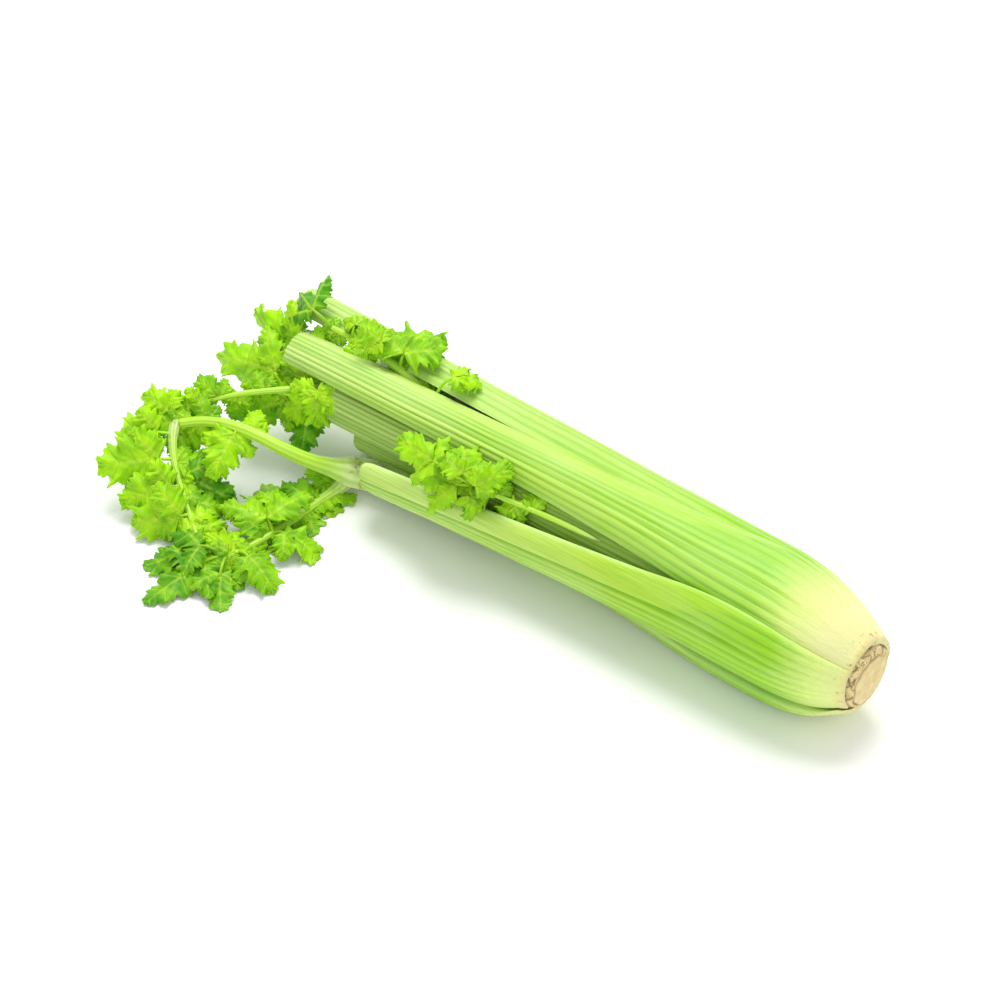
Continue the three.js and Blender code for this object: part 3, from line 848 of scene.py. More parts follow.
def ribbed_tree():
    """Smooths a coarse stalk and raises its ribs."""
    tree, start, end = geometry_tree("Ribbed stalk", {
        "Level": 2,
        "Ribs": 11.0,
        "Depth": 0.7 * MM,
        "Wander": 0.5,
        "Fade From": 20 * MM,
        "Fade To": 90 * MM,
        "Unevenness": 0.6 * MM,
        "Smooth Share": 0.0,
        "Groove": 0.0,
        "Seed": 0.0,
    })
    given = start.outputs
    fine = wired(tree, "GeometryNodeSubdivisionSurface", {"Mesh": given["Geometry"], "Level": given["Level"]})
    across, along, back, tone = (named_value(tree, key) for key in ("across", "along", "back", "tone"))
    out = named_value(tree, "out", "FLOAT_VECTOR")
    drift_place = wired(tree, "ShaderNodeCombineXYZ", {
        0: times(tree, across, 1.6),
        1: times(tree, along, 9.0),
        2: given["Seed"],
    })
    drift = wired(tree, "ShaderNodeTexNoise", {"Vector": drift_place.outputs[0], "Scale": 1.0, "Detail": 1.0})
    stray = times(tree, minus(tree, drift.outputs[0], 0.5), given["Wander"])
    place = times(tree, across, given["Ribs"])
    place = plus(tree, place, times(tree, stray, 2.0))
    round_top = calc(tree, "SINE", times(tree, calc(tree, "FRACT", place), math.pi))
    ridge = calc(tree, "POWER", calc(tree, "MAXIMUM", round_top, 0.0), 0.7)
    rib = plus(tree, calc(tree, "FLOOR", place), times(tree, given["Seed"], 7.3))
    own = wired(tree, "ShaderNodeTexWhiteNoise", {"W": rib}, noise_dimensions="1D").outputs["Value"]
    height = times(tree, ridge, plus(tree, 0.5, times(tree, own, 0.5)))
    shown = ranged(tree, tone, given["Fade From"], given["Fade To"], 0.12)
    shown = times(tree, shown, ranged(tree, back, 0.4, 0.75))
    smooth = times(tree, given["Smooth Share"], ranged(tree, along, 0.04, 0.11))
    flank = minus(tree, across, smooth)
    ribbed = ranged(tree, flank, 0.0, 0.08, 0.15, 1.0)
    ribbed = calc(tree, "MAXIMUM", ribbed, calc(tree, "LESS_THAN", given["Smooth Share"], 0.01))
    shown = times(tree, shown, ribbed)
    aside = minus(tree, across, given["Smooth Share"])
    beside = calc(tree, "POWER", times(tree, aside, 40.0), 2.0)
    groove = calc(tree, "EXPONENT", times(tree, beside, -1.0))
    groove = times(tree, groove, given["Groove"])
    groove = times(tree, groove, ranged(tree, along, 20 * MM, 60 * MM))
    depth = times(tree, given["Depth"], shown)
    lift = times(tree, minus(tree, height, 0.6), depth)
    lift = minus(tree, lift, times(tree, groove, GROOVE_DEPTH))
    position = wired(tree, "GeometryNodeInputPosition").outputs[0]
    slow = wired(tree, "ShaderNodeTexNoise", {"Vector": position, "Scale": 26.0, "Detail": 2.0})
    swell = times(tree, minus(tree, slow.outputs[0], 0.5), given["Unevenness"])
    lift = plus(tree, lift, swell)
    offset = wired(tree, "ShaderNodeVectorMath", {0: out, "Scale": lift}, operation="SCALE")
    moved = {"Geometry": fine.outputs[0], "Offset": offset.outputs[0]}
    raised = wired(tree, "GeometryNodeSetPosition", moved)
    # Painted shade: the stored rib value is lower in the valleys between the ribs and along the deep groove
    # line, and the skin is painted darker there.
    lowered = times(tree, minus(tree, 1.0, height), shown)
    colour = minus(tree, 1.0, calc(tree, "MAXIMUM", lowered, groove))
    kept = wired(tree, "GeometryNodeStoreNamedAttribute", {
        "Geometry": raised.outputs[0], "Name": "rib", "Value": colour,
    })
    finish_tree(tree, start, end, kept.outputs[0])
    return tree


def fibre_end_tree():
    """A small flat button on each point, facing along X."""
    tree, start, end = geometry_tree("Fibre ends", {"Radius": 0.5 * MM, "Height": 0.3 * MM})
    given = start.outputs
    button = wired(tree, "GeometryNodeMeshCylinder", {
        "Vertices": 10, "Radius": given["Radius"], "Depth": given["Height"],
    })
    own = wired(tree, "FunctionNodeRandomValue", {2: 0.6, 3: 1.2, "Seed": 4}, data_type="FLOAT").outputs[1]
    spread = wired(tree, "GeometryNodeInstanceOnPoints", {
        "Points": given["Geometry"],
        "Instance": button.outputs["Mesh"],
        "Rotation": (0.0, math.pi / 2, 0.0),
        "Scale": own,
    })
    finish_tree(tree, start, end, spread.outputs[0])
    return tree


# A kind of stalk: its nodes, columns and rows of the coarse skin, share of the ribs, depth of
# the ribs, its painted shade (how much darker than the outer ones it is made, for the shade
# between them), whether the butt end turns in to the core, and its finish.
StalkKind = namedtuple("StalkKind", "nodes columns rows rib_share depth_share brightness has_lip slot")
STALK_KINDS = {
    "outer": StalkKind(OUTER_STALKS, 22, 30, 1.0, 1.0, 1.0, True, "stalk"),
    "middle": StalkKind(MIDDLE_STALKS, 18, 26, 0.85, 0.9, 0.74, False, "stalk"),
    "inner": StalkKind(INNER_STALKS, 14, 22, 0.75, 0.8, 0.74, False, "pale_stalk"),
    "heart": StalkKind(HEART_STALKS, 12, 20, 0.6, 0.5, 0.88, False, "pale_stalk"),
}
STALKS = [(node, kind) for kind in STALK_KINDS.values() for node in kind.nodes]


class CELERY_OT_stalks(bpy.types.Operator):
    """Every stalk, with its ribs, its hollow side and its cut ends"""

    bl_idname = "celery.stalks"
    bl_label = "Stalks"

    def execute(self, context):
        settings = context.scene.celery_stalks
        tree = ribbed_tree()
        materials = {
            kind: stalk_material("celery_skin_" + name, settings, kind.brightness)
            for name, kind in STALK_KINDS.items()
        }
        for seed, (node, kind) in enumerate(STALKS, 1):
            coarse = stalk_skin(node, kind.columns, kind.rows, kind.has_lip)
            smooth_share, groove = SMOOTH_FLANKS.get(node, (0.0, 0.0))
            grown(coarse, tree, {
                "Ribs": float(round(settings.ribs * kind.rib_share)),
                "Depth": settings.rib_depth * kind.depth_share,
                "Wander": settings.rib_wander,
                "Fade From": settings.fade_from,
                "Fade To": settings.fade_to,
                "Unevenness": settings.unevenness,
                "Smooth Share": smooth_share,
                "Groove": groove,
                "Seed": float(seed),
                "Material": materials[kind],
            })
            finished(coarse, "skin_" + node, [node])
        return {"FINISHED"}


class CELERY_OT_fibre_ends(bpy.types.Operator):
    """The row of pale fibre ends that shows on each cut end"""

    bl_idname = "celery.fibre_ends"
    bl_label = "Fibre ends"

    def execute(self, context):
        settings = context.scene.celery_stalks
        points = []
        for node, kind in STALKS:
            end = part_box(node)[0].x
            outline = outline_at(node_triangles(node), end + 0.2 * MM)
            back, hollow = halves_of(outline, kind.columns + 1)
            middle = (back.mean(0) + hollow.mean(0)) / 2
            drawn_in = 1 - ROUND_ENDS.get(node, ROUND_END)[1] * CUT_ROUNDING
            row = middle + (back * 0.8 + hollow * 0.2 - middle) * drawn_in
            count = round(settings.ribs * kind.rib_share)
            for i in range(count):
                place = (i + 0.5) / count * kind.columns
                y, z = (np.interp(place, range(kind.columns + 1), row[:, k]) for k in (1, 2))
                points.append((end, y, z))
        material, tree, shader = plant_material("celery_fibre_end", STALK_CONSTANTS)
        tint = mixed(tree, placed(tree, "Fibres")["Blotch"], settings.fibre, settings.old_fibre)
        tree.links.new(tint, shader.inputs["Base Color"])
        dots = mesh_object("fibre_points", points, [])
        grown(dots, fibre_end_tree(), {"Radius": 0.55 * MM, "Material": material})
        finished(dots, "fibre_ends", [])
        return {"FINISHED"}


# ---------------------------------------------------------------- butt

BUTT_SIDES = 120
CORE_SHARE = 0.94
# The skin of the butt beyond its flat core: share of the core's radius, and depth in millimetres.
BUTT_PROFILE = (
    (0.985, 0.25), (1.02, 0.9), (1.06, 2.2), (1.1, 3.6), (0.98, 5.0), (0.8, 9.0), (0.5, 18.0), (0.03, 32.0),
)
CRACK_RADIUS = 11.9
CRACK_CENTRE = (0.9 * MM, -2.4 * MM)


def butt_point(reach, depth, turn, radius):
    """Place of a point of the butt across and below its face, and its crack and rim values."""
    wobble = 1 + 0.03 * math.sin(3 * turn + 1.1) + 0.02 * math.sin(7 * turn)
    across, up = reach * math.cos(turn), reach * math.sin(turn)
    ring = CRACK_RADIUS + 0.5 * math.sin(2 * turn + 0.4) + 0.3 * math.sin(9 * turn)
    gap = math.hypot(across - CRACK_CENTRE[0], up - CRACK_CENTRE[1]) - ring * MM
    crack = math.exp(-(gap / (0.5 * MM)) ** 2) * crack_strength(turn)
    uneven = 0.25 * math.sin(reach * 900 + 2 * turn) + 0.3 * math.sin(3 * turn + reach * 500)
    sunk = depth + (crack * 1.3 + 0.18 * uneven + 0.3 * (reach / radius) ** 2) * MM
    rim = min(max(0.0, gap / (1.5 * MM)), 1.0)
    place = (-max(sunk, 0.02 * MM), across * wobble, up * wobble)
    return place, crack if depth < MM else 0.3, rim


class CELERY_OT_butt(bpy.types.Operator):
    """The cut core of the butt, with its crack and its browned rim"""

    bl_idname = "celery.butt"
    bl_label = "Butt"

    def execute(self, context):
        settings = context.scene.celery_butt
        radius = settings.face_radius
        low, high = BUTT_BOX
        face = Vector((high.x, (low.y + high.y) / 2, (low.z + high.z) / 2))
        profile = [(share, 0.0) for share in np.linspace(0.02, CORE_SHARE, 30)] + list(BUTT_PROFILE)
        made = [
            butt_point(radius * share, depth * MM, 2 * math.pi * step / BUTT_SIDES, radius)
            for share, depth in profile
            for step in range(BUTT_SIDES)
        ]
        made += [((-0.1 * MM, 0, 0), 0.0, 0.0), ((-32.5 * MM, 0, 0), 0.0, 0.0)]
        points = [face + Vector(place) for place, crack, rim in made]
        faces = ring_faces(len(profile), BUTT_SIDES)
        front, rear = len(made) - 2, len(made) - 1
        for step in range(BUTT_SIDES):
            after = (step + 1) % BUTT_SIDES
            last_row = front - BUTT_SIDES
            faces += [(front, step, after), (rear, last_row + step, last_row + after)]
        values = {"crack": [crack for place, crack, rim in made], "rim": [rim for place, crack, rim in made]}
        piece = mesh_object("butt_core", points, faces, values)
        painted(piece, butt_material("celery_butt", settings), "crown", ["butt"])
        return {"FINISHED"}


def crack_strength(turn):
    """How open the crack round the core is: widest on the side of the hanging leaves."""
    side = 0.5 - 0.5 * math.cos(turn)
    top = max(0.0, math.sin(turn)) ** 2
    return min(1.0, side ** 1.2 + 0.8 * top)


# ---------------------------------------------------------------- leaf stems

STEM_POINTS = 24
LEAF_PLACES = 60


def centre_line(name, count):
    """Points along the middle of a leaf stem's frame node, from a root inside what it grows from."""
    triangles = node_triangles(name)
    corners = triangles.reshape(-1, 3)
    middle = corners.mean(0)
    axes = np.linalg.eigh(np.cov((corners - middle).T))[1][:, ::-1].T
    straight = (triangles - middle) @ axes.T
    low, high = straight[..., 0].min(), straight[..., 0].max()
    inset = 0.03 * (high - low)
    places = np.linspace(low + inset, high - inset, count)
    line = np.array([outline_at(straight, place).mean(0) for place in places]) @ axes + middle
    parent = node_triangles(LEAF_STEMS[name][0]).reshape(-1, 3)
    gaps = [np.linalg.norm(parent - end, axis=1).min() for end in (line[0], line[-1])]
    line = line if gaps[0] <= gaps[1] else line[::-1]
    inside = parent[np.linalg.norm(parent - line[0], axis=1).argsort()[:24]].mean(0)
    back = unit(unit(line[0] - line[1]) + 1.4 * (inside - line[0]) / (9 * MM))
    root = line[0] + back * LEAF_STEMS[name][4] * MM
    return evenly(smoothed(np.vstack([root, line]), 2), count)


def leaf_stem_tree():
    """A channelled stem along a line of points, as thick as each point says."""
    tree, start, end = geometry_tree("Leaf stem", {
        "Steps": 70, "Sides": 40, "Ribs": 9.0, "Rib Depth": 0.05, "Channel": 0.3,
    })
    given = start.outputs
    line = wired(tree, "GeometryNodeMeshToCurve", {"Mesh": given["Geometry"]})
    bent = wired(tree, "GeometryNodeCurveSplineType", {"Curve": line.outputs[0]}, spline_type="CATMULL_ROM")
    fine = wired(tree, "GeometryNodeResampleCurve", {"Curve": bent.outputs[0], "Count": given["Steps"]})
    upright = wired(tree, "GeometryNodeSetCurveNormal", {"Curve": fine.outputs[0]}, mode="Z_UP")
    circle = wired(tree, "GeometryNodeCurvePrimitiveCircle", {"Resolution": given["Sides"], "Radius": 1.0})
    position = wired(tree, "GeometryNodeInputPosition").outputs[0]
    parts = wired(tree, "ShaderNodeSeparateXYZ", {0: position}).outputs
    angle = calc(tree, "ARCTAN2", parts[1], parts[0])
    wave = calc(tree, "COSINE", times(tree, angle, given["Ribs"]))
    up = calc(tree, "POWER", calc(tree, "MAXIMUM", parts[1], 0.0), 3.0)
    sunk = minus(tree, 1.0, times(tree, up, given["Channel"]))
    scale = plus(tree, sunk, times(tree, wave, given["Rib Depth"]))
    outline = wired(tree, "ShaderNodeVectorMath", {0: position, "Scale": scale}, operation="SCALE")
    shaped = wired(
        tree, "GeometryNodeSetPosition", {"Geometry": circle.outputs["Curve"], "Position": outline.outputs[0]}
    )
    # The stored rib value is highest in the grooves, where the stem's material paints shade.
    grooved = wired(tree, "GeometryNodeStoreNamedAttribute", {
        "Geometry": shaped.outputs[0],
        "Name": "rib",
        "Value": times(tree, minus(tree, 1.0, wave), 0.5),
    })
    tube = wired(tree, "GeometryNodeCurveToMesh", {
        "Curve": upright.outputs[0],
        "Profile Curve": grooved.outputs[0],
        "Scale": named_value(tree, "thick"),
        "Fill Caps": True,
    })
    finish_tree(tree, start, end, tube.outputs[0])
    return tree


class CELERY_OT_leaf_stems(bpy.types.Operator):
    """The thin channelled stems that carry the leaves"""

    bl_idname = "celery.leaf_stems"
    bl_label = "Leaf stems"

    def execute(self, context):
        settings = context.scene.celery_leaves
        material = stem_material("celery_leaf_stem", settings)
        tree = leaf_stem_tree()
        for name, (_, foot, tip, swell, depth) in LEAF_STEMS.items():
            line = centre_line(name, STEM_POINTS)
            length = np.linalg.norm(np.diff(line, axis=0), axis=1).sum()
            share = np.linspace(0, 1, STEM_POINTS)
            nearness = np.exp(-np.maximum(share * length - depth * 0.8 * MM, 0) / (8 * MM))
            thick = (foot + (tip - foot) * share + swell * foot * nearness) * MM
            mesh = bpy.data.meshes.new(name + "_line")
            mesh.from_pydata([tuple(p) for p in line], [(i, i + 1) for i in range(STEM_POINTS - 1)], [])
            for key, values in (("thick", thick), ("foot", nearness)):
                made = mesh.attributes.new(key, "FLOAT", "POINT")
                made.data.foreach_set("value", values.astype(np.float32))
            source = linked(name + "_line", mesh)
            grown(source, tree, {"Material": material})
            finished(source, "grown_" + name, [name])
        return {"FINISHED"}


# ---------------------------------------------------------------- leaves

# Where the lobes of a blade begin and end along its middle vein.
LOBE_EDGES = (0.0, 0.22, 0.5, 0.76, 1.02)
BLADE_ROWS, BLADE_COLUMNS = 78, 15
SIDE_ROWS, SIDE_COLUMNS = 58, 11
VEIN_WIDTH = 0.45 * MM
SIDE_TURN = math.radians(58)
SIDE_SIZE = 0.66
# Length and width of a small leaf of size 1.
SMALL_LEAF = (15 * MM, 13 * MM)
FIRST_LEAF_SEED = 40
SMALL_LEAF_SEED = 7


def unit(vector):
    """A direction of length 1."""
    return vector / np.linalg.norm(vector)


def half_width(v, edges, teeth, phase):
    """Half width of a blade along its middle vein, as a share of the greatest: lobes with teeth."""
    reach = np.interp(v, [0, 0.07, 0.3, 0.6, 0.84, 1], [0.15, 0.85, 1.0, 0.9, 0.55, 0.02])
    place = np.interp(v, edges, range(len(edges)))
    lobe = np.sin(np.pi * (place % 1)) ** 0.7
    tooth = (v * teeth + phase) % 1
    tooth = np.minimum(tooth / 0.72, (1 - tooth) / 0.28)
    return reach * (0.68 + 0.32 * lobe) * (0.8 + 0.2 * tooth)


def blade_grid(length, width, curl, fold, shape, settings, random):
    """Points of one blade, x across, y along, z up, with how near each is to a vein and the margin."""
    rows, columns = shape
    v = np.linspace(0, 1, rows)[:, None] * np.ones((1, columns))
    c = np.linspace(-1, 1, columns)[None, :] * np.ones((rows, 1))
    reach = np.abs(c)
    half, lobe_vein, wave = np.zeros_like(v), np.zeros_like(v), np.zeros_like(v)
    for side in (-1, 1):
        chosen = (c <= 0) if side < 0 else (c > 0)
        edges = np.array(LOBE_EDGES) + np.concatenate([[0], random.uniform(-0.03, 0.03, 3), [0]])
        half = np.where(chosen, half_width(v, edges, settings.teeth, random.uniform()) * width / 2, half)
        near = np.zeros_like(v)
        for middle in (edges[1:] + edges[:-1]) / 2:
            near = np.maximum(near, np.exp(-((v - middle) * length / VEIN_WIDTH) ** 2))
        lobe_vein = np.where(chosen, near * (1 - reach ** 4), lobe_vein)
        ripple = np.sin(2 * np.pi * random.uniform(1.6, 2.8) * v + random.uniform(0, 6))
        wave = np.where(chosen, ripple, wave)
    # The lobes lean forwards, the more so the nearer they are to the tip.
    lean = np.radians(12 + 50 * v)
    x = c * half * np.cos(lean)
    y = v * length * 0.84 + reach * half * np.sin(lean) * 0.85
    middle_vein = np.exp(-(reach * half / (VEIN_WIDTH * (1.3 - 0.8 * v))) ** 2)
    vein = np.maximum(middle_vein, lobe_vein)
    # The blade puffs up between its veins, waves along its margin and crinkles all over.
    bulge = settings.bulge * min(1.0, width / (20 * MM))
    z = bulge * (1 - vein) * (1 - reach ** 6)
    z += settings.ruffle * half * reach ** 2 * wave - fold * reach * half
    z += settings.ruffle * 0.4 * half * reach ** 3 * np.sin(2 * np.pi * 5 * v + random.uniform(0, 6))
    crinkle = np.sin(2 * np.pi * (5 * v + 2.2 * reach) + random.uniform(0, 6))
    crinkle *= np.sin(2 * np.pi * 3 * c + 4 * v)
    z += bulge * 0.6 * crinkle * (1 - middle_vein)
    # Then it curls over along its whole length.
    turn = max(curl * math.pi / 2, 0.05)
    radius = length / turn
    angle = y / length * turn
    along = radius * np.sin(angle) + z * np.sin(angle)
    up = -radius * (1 - np.cos(angle)) + z * np.cos(angle)
    return np.stack([x, along, up], axis=-1), vein, reach ** 3


def sheet_of(grid, thickness):
    """A closed thin sheet on a grid of points: its points and faces."""
    rows, columns = grid.shape[:2]
    down, over = np.gradient(grid, axis=0), np.gradient(grid, axis=1)
    normal = np.cross(over, down)
    size = np.linalg.norm(normal, axis=-1, keepdims=True)
    normal = np.where(size > 1e-14, normal / np.maximum(size, 1e-14), [0, 0, 1])
    points = np.concatenate([
        (grid + normal * thickness / 2).reshape(-1, 3), (grid - normal * thickness / 2).reshape(-1, 3)
    ])
    under = rows * columns
    faces = []
    for r in range(rows - 1):
        for k in range(columns - 1):
            one = r * columns + k
            face = (one, one + 1, one + columns + 1, one + columns)
            faces.append(face)
            faces.append(tuple(i + under for i in reversed(face)))
    rim = list(range(columns))
    rim += [r * columns + columns - 1 for r in range(1, rows)]
    rim += [(rows - 1) * columns + k for k in range(columns - 2, -1, -1)]
    rim += [r * columns for r in range(rows - 2, 0, -1)]
    for i, one in enumerate(rim):
        two = rim[(i + 1) % len(rim)]
        faces.append((two, one, one + under, two + under))
    return points, faces


def resting(points, soft=2.0 * MM, least=0.5 * MM):
    """Points laid softly on the floor: those that would be under it end up just above it."""
    lifted = np.array(points)
    lifted[..., 2] = least + soft * np.logaddexp(0, (lifted[..., 2] - least) / soft)
    return lifted


def tube_of(line, radii, sides=7):
    """A closed round tube along a few points: its points and faces."""
    ahead = np.gradient(line, axis=0)
    points = []
    for place, forward, radius in zip(line, ahead, radii):
        forward = Vector(forward).normalized()
        right = forward.cross(Vector((0.1, 0.2, 1))).normalized()
        top = right.cross(forward)
        for step in range(sides):
            turn = 2 * math.pi * step / sides
            points.append(np.array(Vector(place) + (right * math.cos(turn) + top * math.sin(turn)) * radius))
    ends = [tuple(reversed(range(sides))), tuple(range(len(points) - sides, len(points)))]
    return np.array(points), ring_faces(len(line), sides) + ends


def leaflet_frame(name, stem_line):
    """Foot, length, width and directions of a leaflet, measured on the slab that stands for it."""
    corners = node_triangles(name).reshape(-1, 3)
    middle = corners.mean(0)
    axes = np.linalg.eigh(np.cov((corners - middle).T))[1][:, ::-1].T
    reach = (corners - middle) @ axes.T
    low, high = reach.min(0), reach.max(0)
    forward, up = axes[0], axes[2]
    ends = [middle + forward * low[0], middle + forward * high[0]]
    gaps = [np.linalg.norm(stem_line - end, axis=1).min() for end in ends]
    foot = ends[0]
    if gaps[1] < gaps[0]:
        forward, foot = -forward, ends[1]
    if up @ UPPER_FACE < 0:
        up = -up
    side = np.cross(forward, up)
    return foot, high[0] - low[0], high[1] - low[1], side, forward, up


def turned(side, forward, angle):
    """The two directions of a blade after a turn about the way that it faces."""
    cos, sin = math.cos(angle), math.sin(angle)
    return side * cos - forward * sin, forward * cos + side * sin


def leaf_parts(foot, length, width, directions, form, settings, random):
    """One leaf: a long blade between two shorter ones; returns points, faces, veins and margins."""
    side, forward, up = directions
    curl, fold, size = form
    parts = []
    blades = [(0.0, size, (BLADE_ROWS, BLADE_COLUMNS))]
    for turn in (-1, 1):
        scale = size * SIDE_SIZE * random.uniform(0.85, 1.15)
        blades.append((turn * SIDE_TURN * random.uniform(0.85, 1.2), scale, (SIDE_ROWS, SIDE_COLUMNS)))
    for turn, scale, shape in blades:
        curled = curl * random.uniform(0.8, 1.2)
        grid, vein, margin = blade_grid(length * scale, width * scale, curled, fold, shape, settings, random)
        blade_side, blade_forward = turned(side, forward, turn)
        tilt = random.uniform(-0.25, 0.25) + (0.15 if turn else 0)
        blade_forward = blade_forward * math.cos(tilt) + up * math.sin(tilt)
        blade_up = np.cross(blade_side, blade_forward)
        start = foot + blade_forward * (0.5 * MM if turn else 1.5 * MM)
        grid = resting(start + grid @ np.stack([blade_side, blade_forward, blade_up]))
        points, faces = sheet_of(grid, settings.thickness)
        parts.append((points, faces, list(vein.ravel()) * 2, list(margin.ravel()) * 2))
    return parts


def joined(parts):
    """Several closed shapes as one list of points, faces and values."""
    points, faces, vein, margin = [], [], [], []
    for new_points, new_faces, new_vein, new_margin in parts:
        first = len(points)
        points.extend(new_points)
        faces.extend(tuple(i + first for i in face) for face in new_faces)
        vein.extend(new_vein)
        margin.extend(new_margin)
    return points, faces, vein, margin


def leaf_piece(name, parts, shades_and_ages, material, nodes):
    """A finished piece from the parts of one or more leaves."""
    points, faces, vein, margin = joined(parts)
    shade_and_age = np.concatenate([[shade_and_age] * len(part[0]) for shade_and_age, part in zip(shades_and_ages, parts)])
    piece = mesh_object(name, points, faces, {"vein": vein, "margin": margin, "shade_and_age": shade_and_age})
    painted(piece, material, "leaf", nodes)


class CELERY_OT_leaves(bpy.types.Operator):
    """Every leaf: a lobed and toothed blade between two smaller ones, on a short stalk"""

    bl_idname = "celery.leaves"
    bl_label = "Leaves"

    def execute(self, context):
        settings = context.scene.celery_leaves
        material = leaf_material("celery_leaf", settings)
        leaves = [(stem, name, form) for stem, forms in LEAFLETS.items() for name, form in forms.items()]
        for order, (stem, name, (curl, fold, shade_and_age, size)) in enumerate(leaves):
            random = np.random.RandomState(FIRST_LEAF_SEED + order)
            line = centre_line(stem, LEAF_PLACES)
            foot, length, width, side, forward, up = leaflet_frame(name, line)
            directions = (side, forward, up)
            parts = leaf_parts(foot, length, width, directions, (curl, fold, size), settings, random)
            root = line[np.linalg.norm(line - foot, axis=1).argmin()]
            reach = np.linalg.norm(foot - root)
            share = np.linspace(0, 1.05, 9)[:, None]
            stalk = root + (foot + forward * 1.5 * MM - root) * share
            stalk = resting(stalk + up * reach * 0.18 * np.sin(np.pi * np.clip(share, 0, 1)))
            tube, faces = tube_of(stalk, np.linspace(0.95, 0.6, len(stalk)) * MM)
            parts.append((tube, faces, [0.8] * len(tube), [0.0] * len(tube)))
            leaf_piece("grown_" + name, parts, [shade_and_age] * len(parts), material, [name])
        return {"FINISHED"}


class CELERY_OT_small_leaves(bpy.types.Operator):
    """The small crinkled leaves that crowd along the leaf stems"""

    bl_idname = "celery.small_leaves"
    bl_label = "Small leaves"

    def execute(self, context):
        settings = context.scene.celery_leaves
        material = bpy.data.materials.get("celery_leaf") or leaf_material("celery_leaf", settings)
        random = np.random.RandomState(SMALL_LEAF_SEED)
        for stem, places in SMALL_LEAVES.items():
            line = centre_line(stem, LEAF_PLACES)
            parts, shades_and_ages = [], []
            for share, swing, size, *off in places:
                index = min(int(share * (LEAF_PLACES - 1)), LEAF_PLACES - 2)
                tangent = unit(line[index + 1] - line[index])
                up = unit(UPPER_FACE - tangent * (tangent @ UPPER_FACE))
                across = np.cross(tangent, up)
                angle = math.radians(swing)
                forward = tangent * math.cos(angle) + across * math.sin(angle)
                forward = unit(forward + up * random.uniform(-0.1, 0.35))
                side = unit(np.cross(forward, up))
                directions = (side, forward, np.cross(side, forward))
                form = (random.uniform(0.4, 1.1), random.uniform(0.05, 0.25), size)
                foot = line[index] + up * sum(off) * MM
                made = leaf_parts(foot, *SMALL_LEAF, directions, form, settings, random)
                parts += made
                shades_and_ages += [random.uniform(0.0, 0.75)] * len(made)
            leaf_piece(stem.replace("leaf_stem", "small_leaves"), parts, shades_and_ages, material, [])
        return {"FINISHED"}


# ---------------------------------------------------------------- stage

FLOOR_REACH = 6.0
# The middle of the view, measured from the middle of the head.
LOOK_ASIDE = Vector((-10.0, 39.2, -5.3)) * MM


def aimed(thing, place, ahead):
    """Puts a lamp or the camera in its place, looking ahead."""
    thing.location = place
    thing.rotation_mode = "QUATERNION"
    thing.rotation_quaternion = ahead.to_track_quat("-Z", "Y")


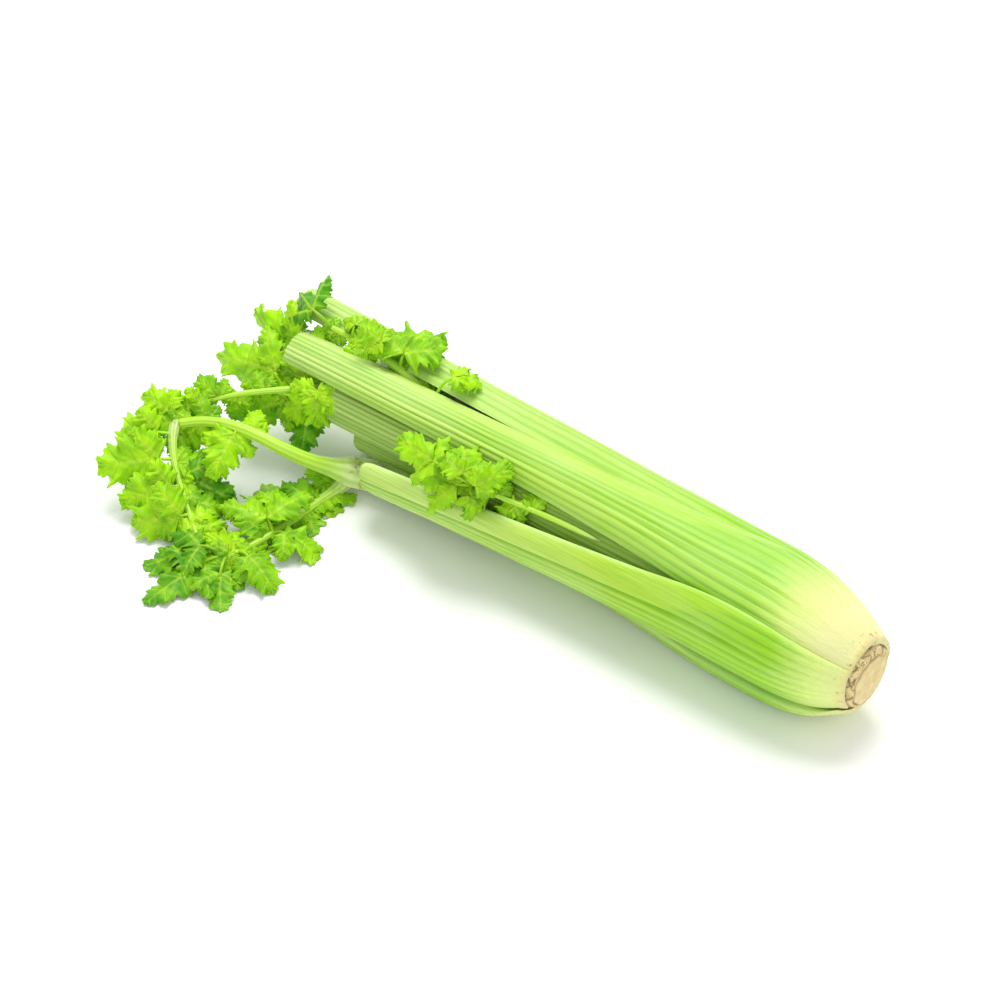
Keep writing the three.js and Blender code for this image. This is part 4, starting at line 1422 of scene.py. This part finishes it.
class CELERY_OT_stage(bpy.types.Operator):
    """The pale floor, the soft light and the camera"""

    bl_idname = "celery.stage"
    bl_label = "Stage"

    def execute(self, context):
        settings = context.scene.celery_stage
        low, high = CAD_BOX
        centre = (low + high) / 2
        mesh = bpy.data.meshes.new("floor")
        corners = ((-1, -1), (1, -1), (1, 1), (-1, 1))
        mesh.from_pydata([(x * FLOOR_REACH, y * FLOOR_REACH, 0) for x, y in corners], [], [(0, 1, 2, 3)])
        material, tree, shader = plant_material("floor_paint", {"Roughness": 0.9, "Specular IOR Level": 0.1})
        place = wired(tree, "ShaderNodeTexCoord").outputs["Object"]
        dust = wired(tree, "ShaderNodeTexNoise", {"Vector": place, "Scale": 3.0})
        tint = mixed(tree, times(tree, dust.outputs["Fac"], 0.02), settings.floor, settings.dust)
        tree.links.new(tint, shader.inputs["Base Color"])
        mesh.materials.append(material)
        linked("floor", mesh)

        world = bpy.data.worlds.new("studio")
        world.use_nodes = True
        sky = world.node_tree.nodes["Background"].inputs
        sky["Color"].default_value = (1, 1, 1, 1)
        sky["Strength"].default_value = settings.sky
        context.scene.world = world
        for name, place, width, power in (
            ("key", (-0.35, 0.55, 1.5), 1.1, settings.key),
            ("fill", (0.9, -1.1, 0.9), 1.2, settings.key * 0.2),
        ):
            light = bpy.data.lights.new(name, "AREA")
            light.shape = "DISK"
            light.size = width
            light.energy = power
            aimed(linked(name, light), centre + Vector(place), -Vector(place))

        a, e = settings.azimuth, settings.elevation
        back = Vector((math.sin(a) * math.cos(e), -math.cos(a) * math.cos(e), math.sin(e)))
        data = bpy.data.cameras.new("camera")
        data.lens = settings.lens
        context.scene.camera = linked("camera", data)
        aimed(context.scene.camera, centre + LOOK_ASIDE + back * settings.distance, -back)
        context.scene.view_settings.view_transform = "Standard"
        return {"FINISHED"}


class CELERY_PT_panel(bpy.types.Panel):
    """Makes the head of celery piece by piece"""

    bl_idname = "CELERY_PT_panel"
    bl_label = "Head of celery"
    bl_space_type = "VIEW_3D"
    bl_region_type = "UI"
    bl_category = "Celery"

    def draw(self, context):
        for operator in OPERATORS:
            self.layout.operator(operator.bl_idname)
        for key, group in SETTINGS:
            box = self.layout.box()
            box.label(text=group.bl_rna.description)
            for item in group.__annotations__:
                box.prop(getattr(context.scene, key), item)


OPERATORS = (
    CELERY_OT_stalks,
    CELERY_OT_fibre_ends,
    CELERY_OT_butt,
    CELERY_OT_leaf_stems,
    CELERY_OT_leaves,
    CELERY_OT_small_leaves,
    CELERY_OT_stage,
)
SETTINGS = (
    ("celery_stalks", StalkSettings),
    ("celery_leaves", LeafSettings),
    ("celery_butt", ButtSettings),
    ("celery_stage", StageSettings),
)


def register():
    for key, group in SETTINGS:
        bpy.utils.register_class(group)
        setattr(bpy.types.Scene, key, bpy.props.PointerProperty(type=group))
    for kind in (*OPERATORS, CELERY_PT_panel):
        bpy.utils.register_class(kind)


def unregister():
    for kind in reversed((*OPERATORS, CELERY_PT_panel)):
        bpy.utils.unregister_class(kind)
    for key, group in reversed(SETTINGS):
        delattr(bpy.types.Scene, key)
        bpy.utils.unregister_class(group)


def main():
    register()
    bpy.ops.celery.stalks()
    bpy.ops.celery.fibre_ends()
    bpy.ops.celery.butt()
    bpy.ops.celery.leaf_stems()
    bpy.ops.celery.leaves()
    bpy.ops.celery.small_leaves()
    bpy.ops.celery.stage()


if __name__ == "__main__":
    main()
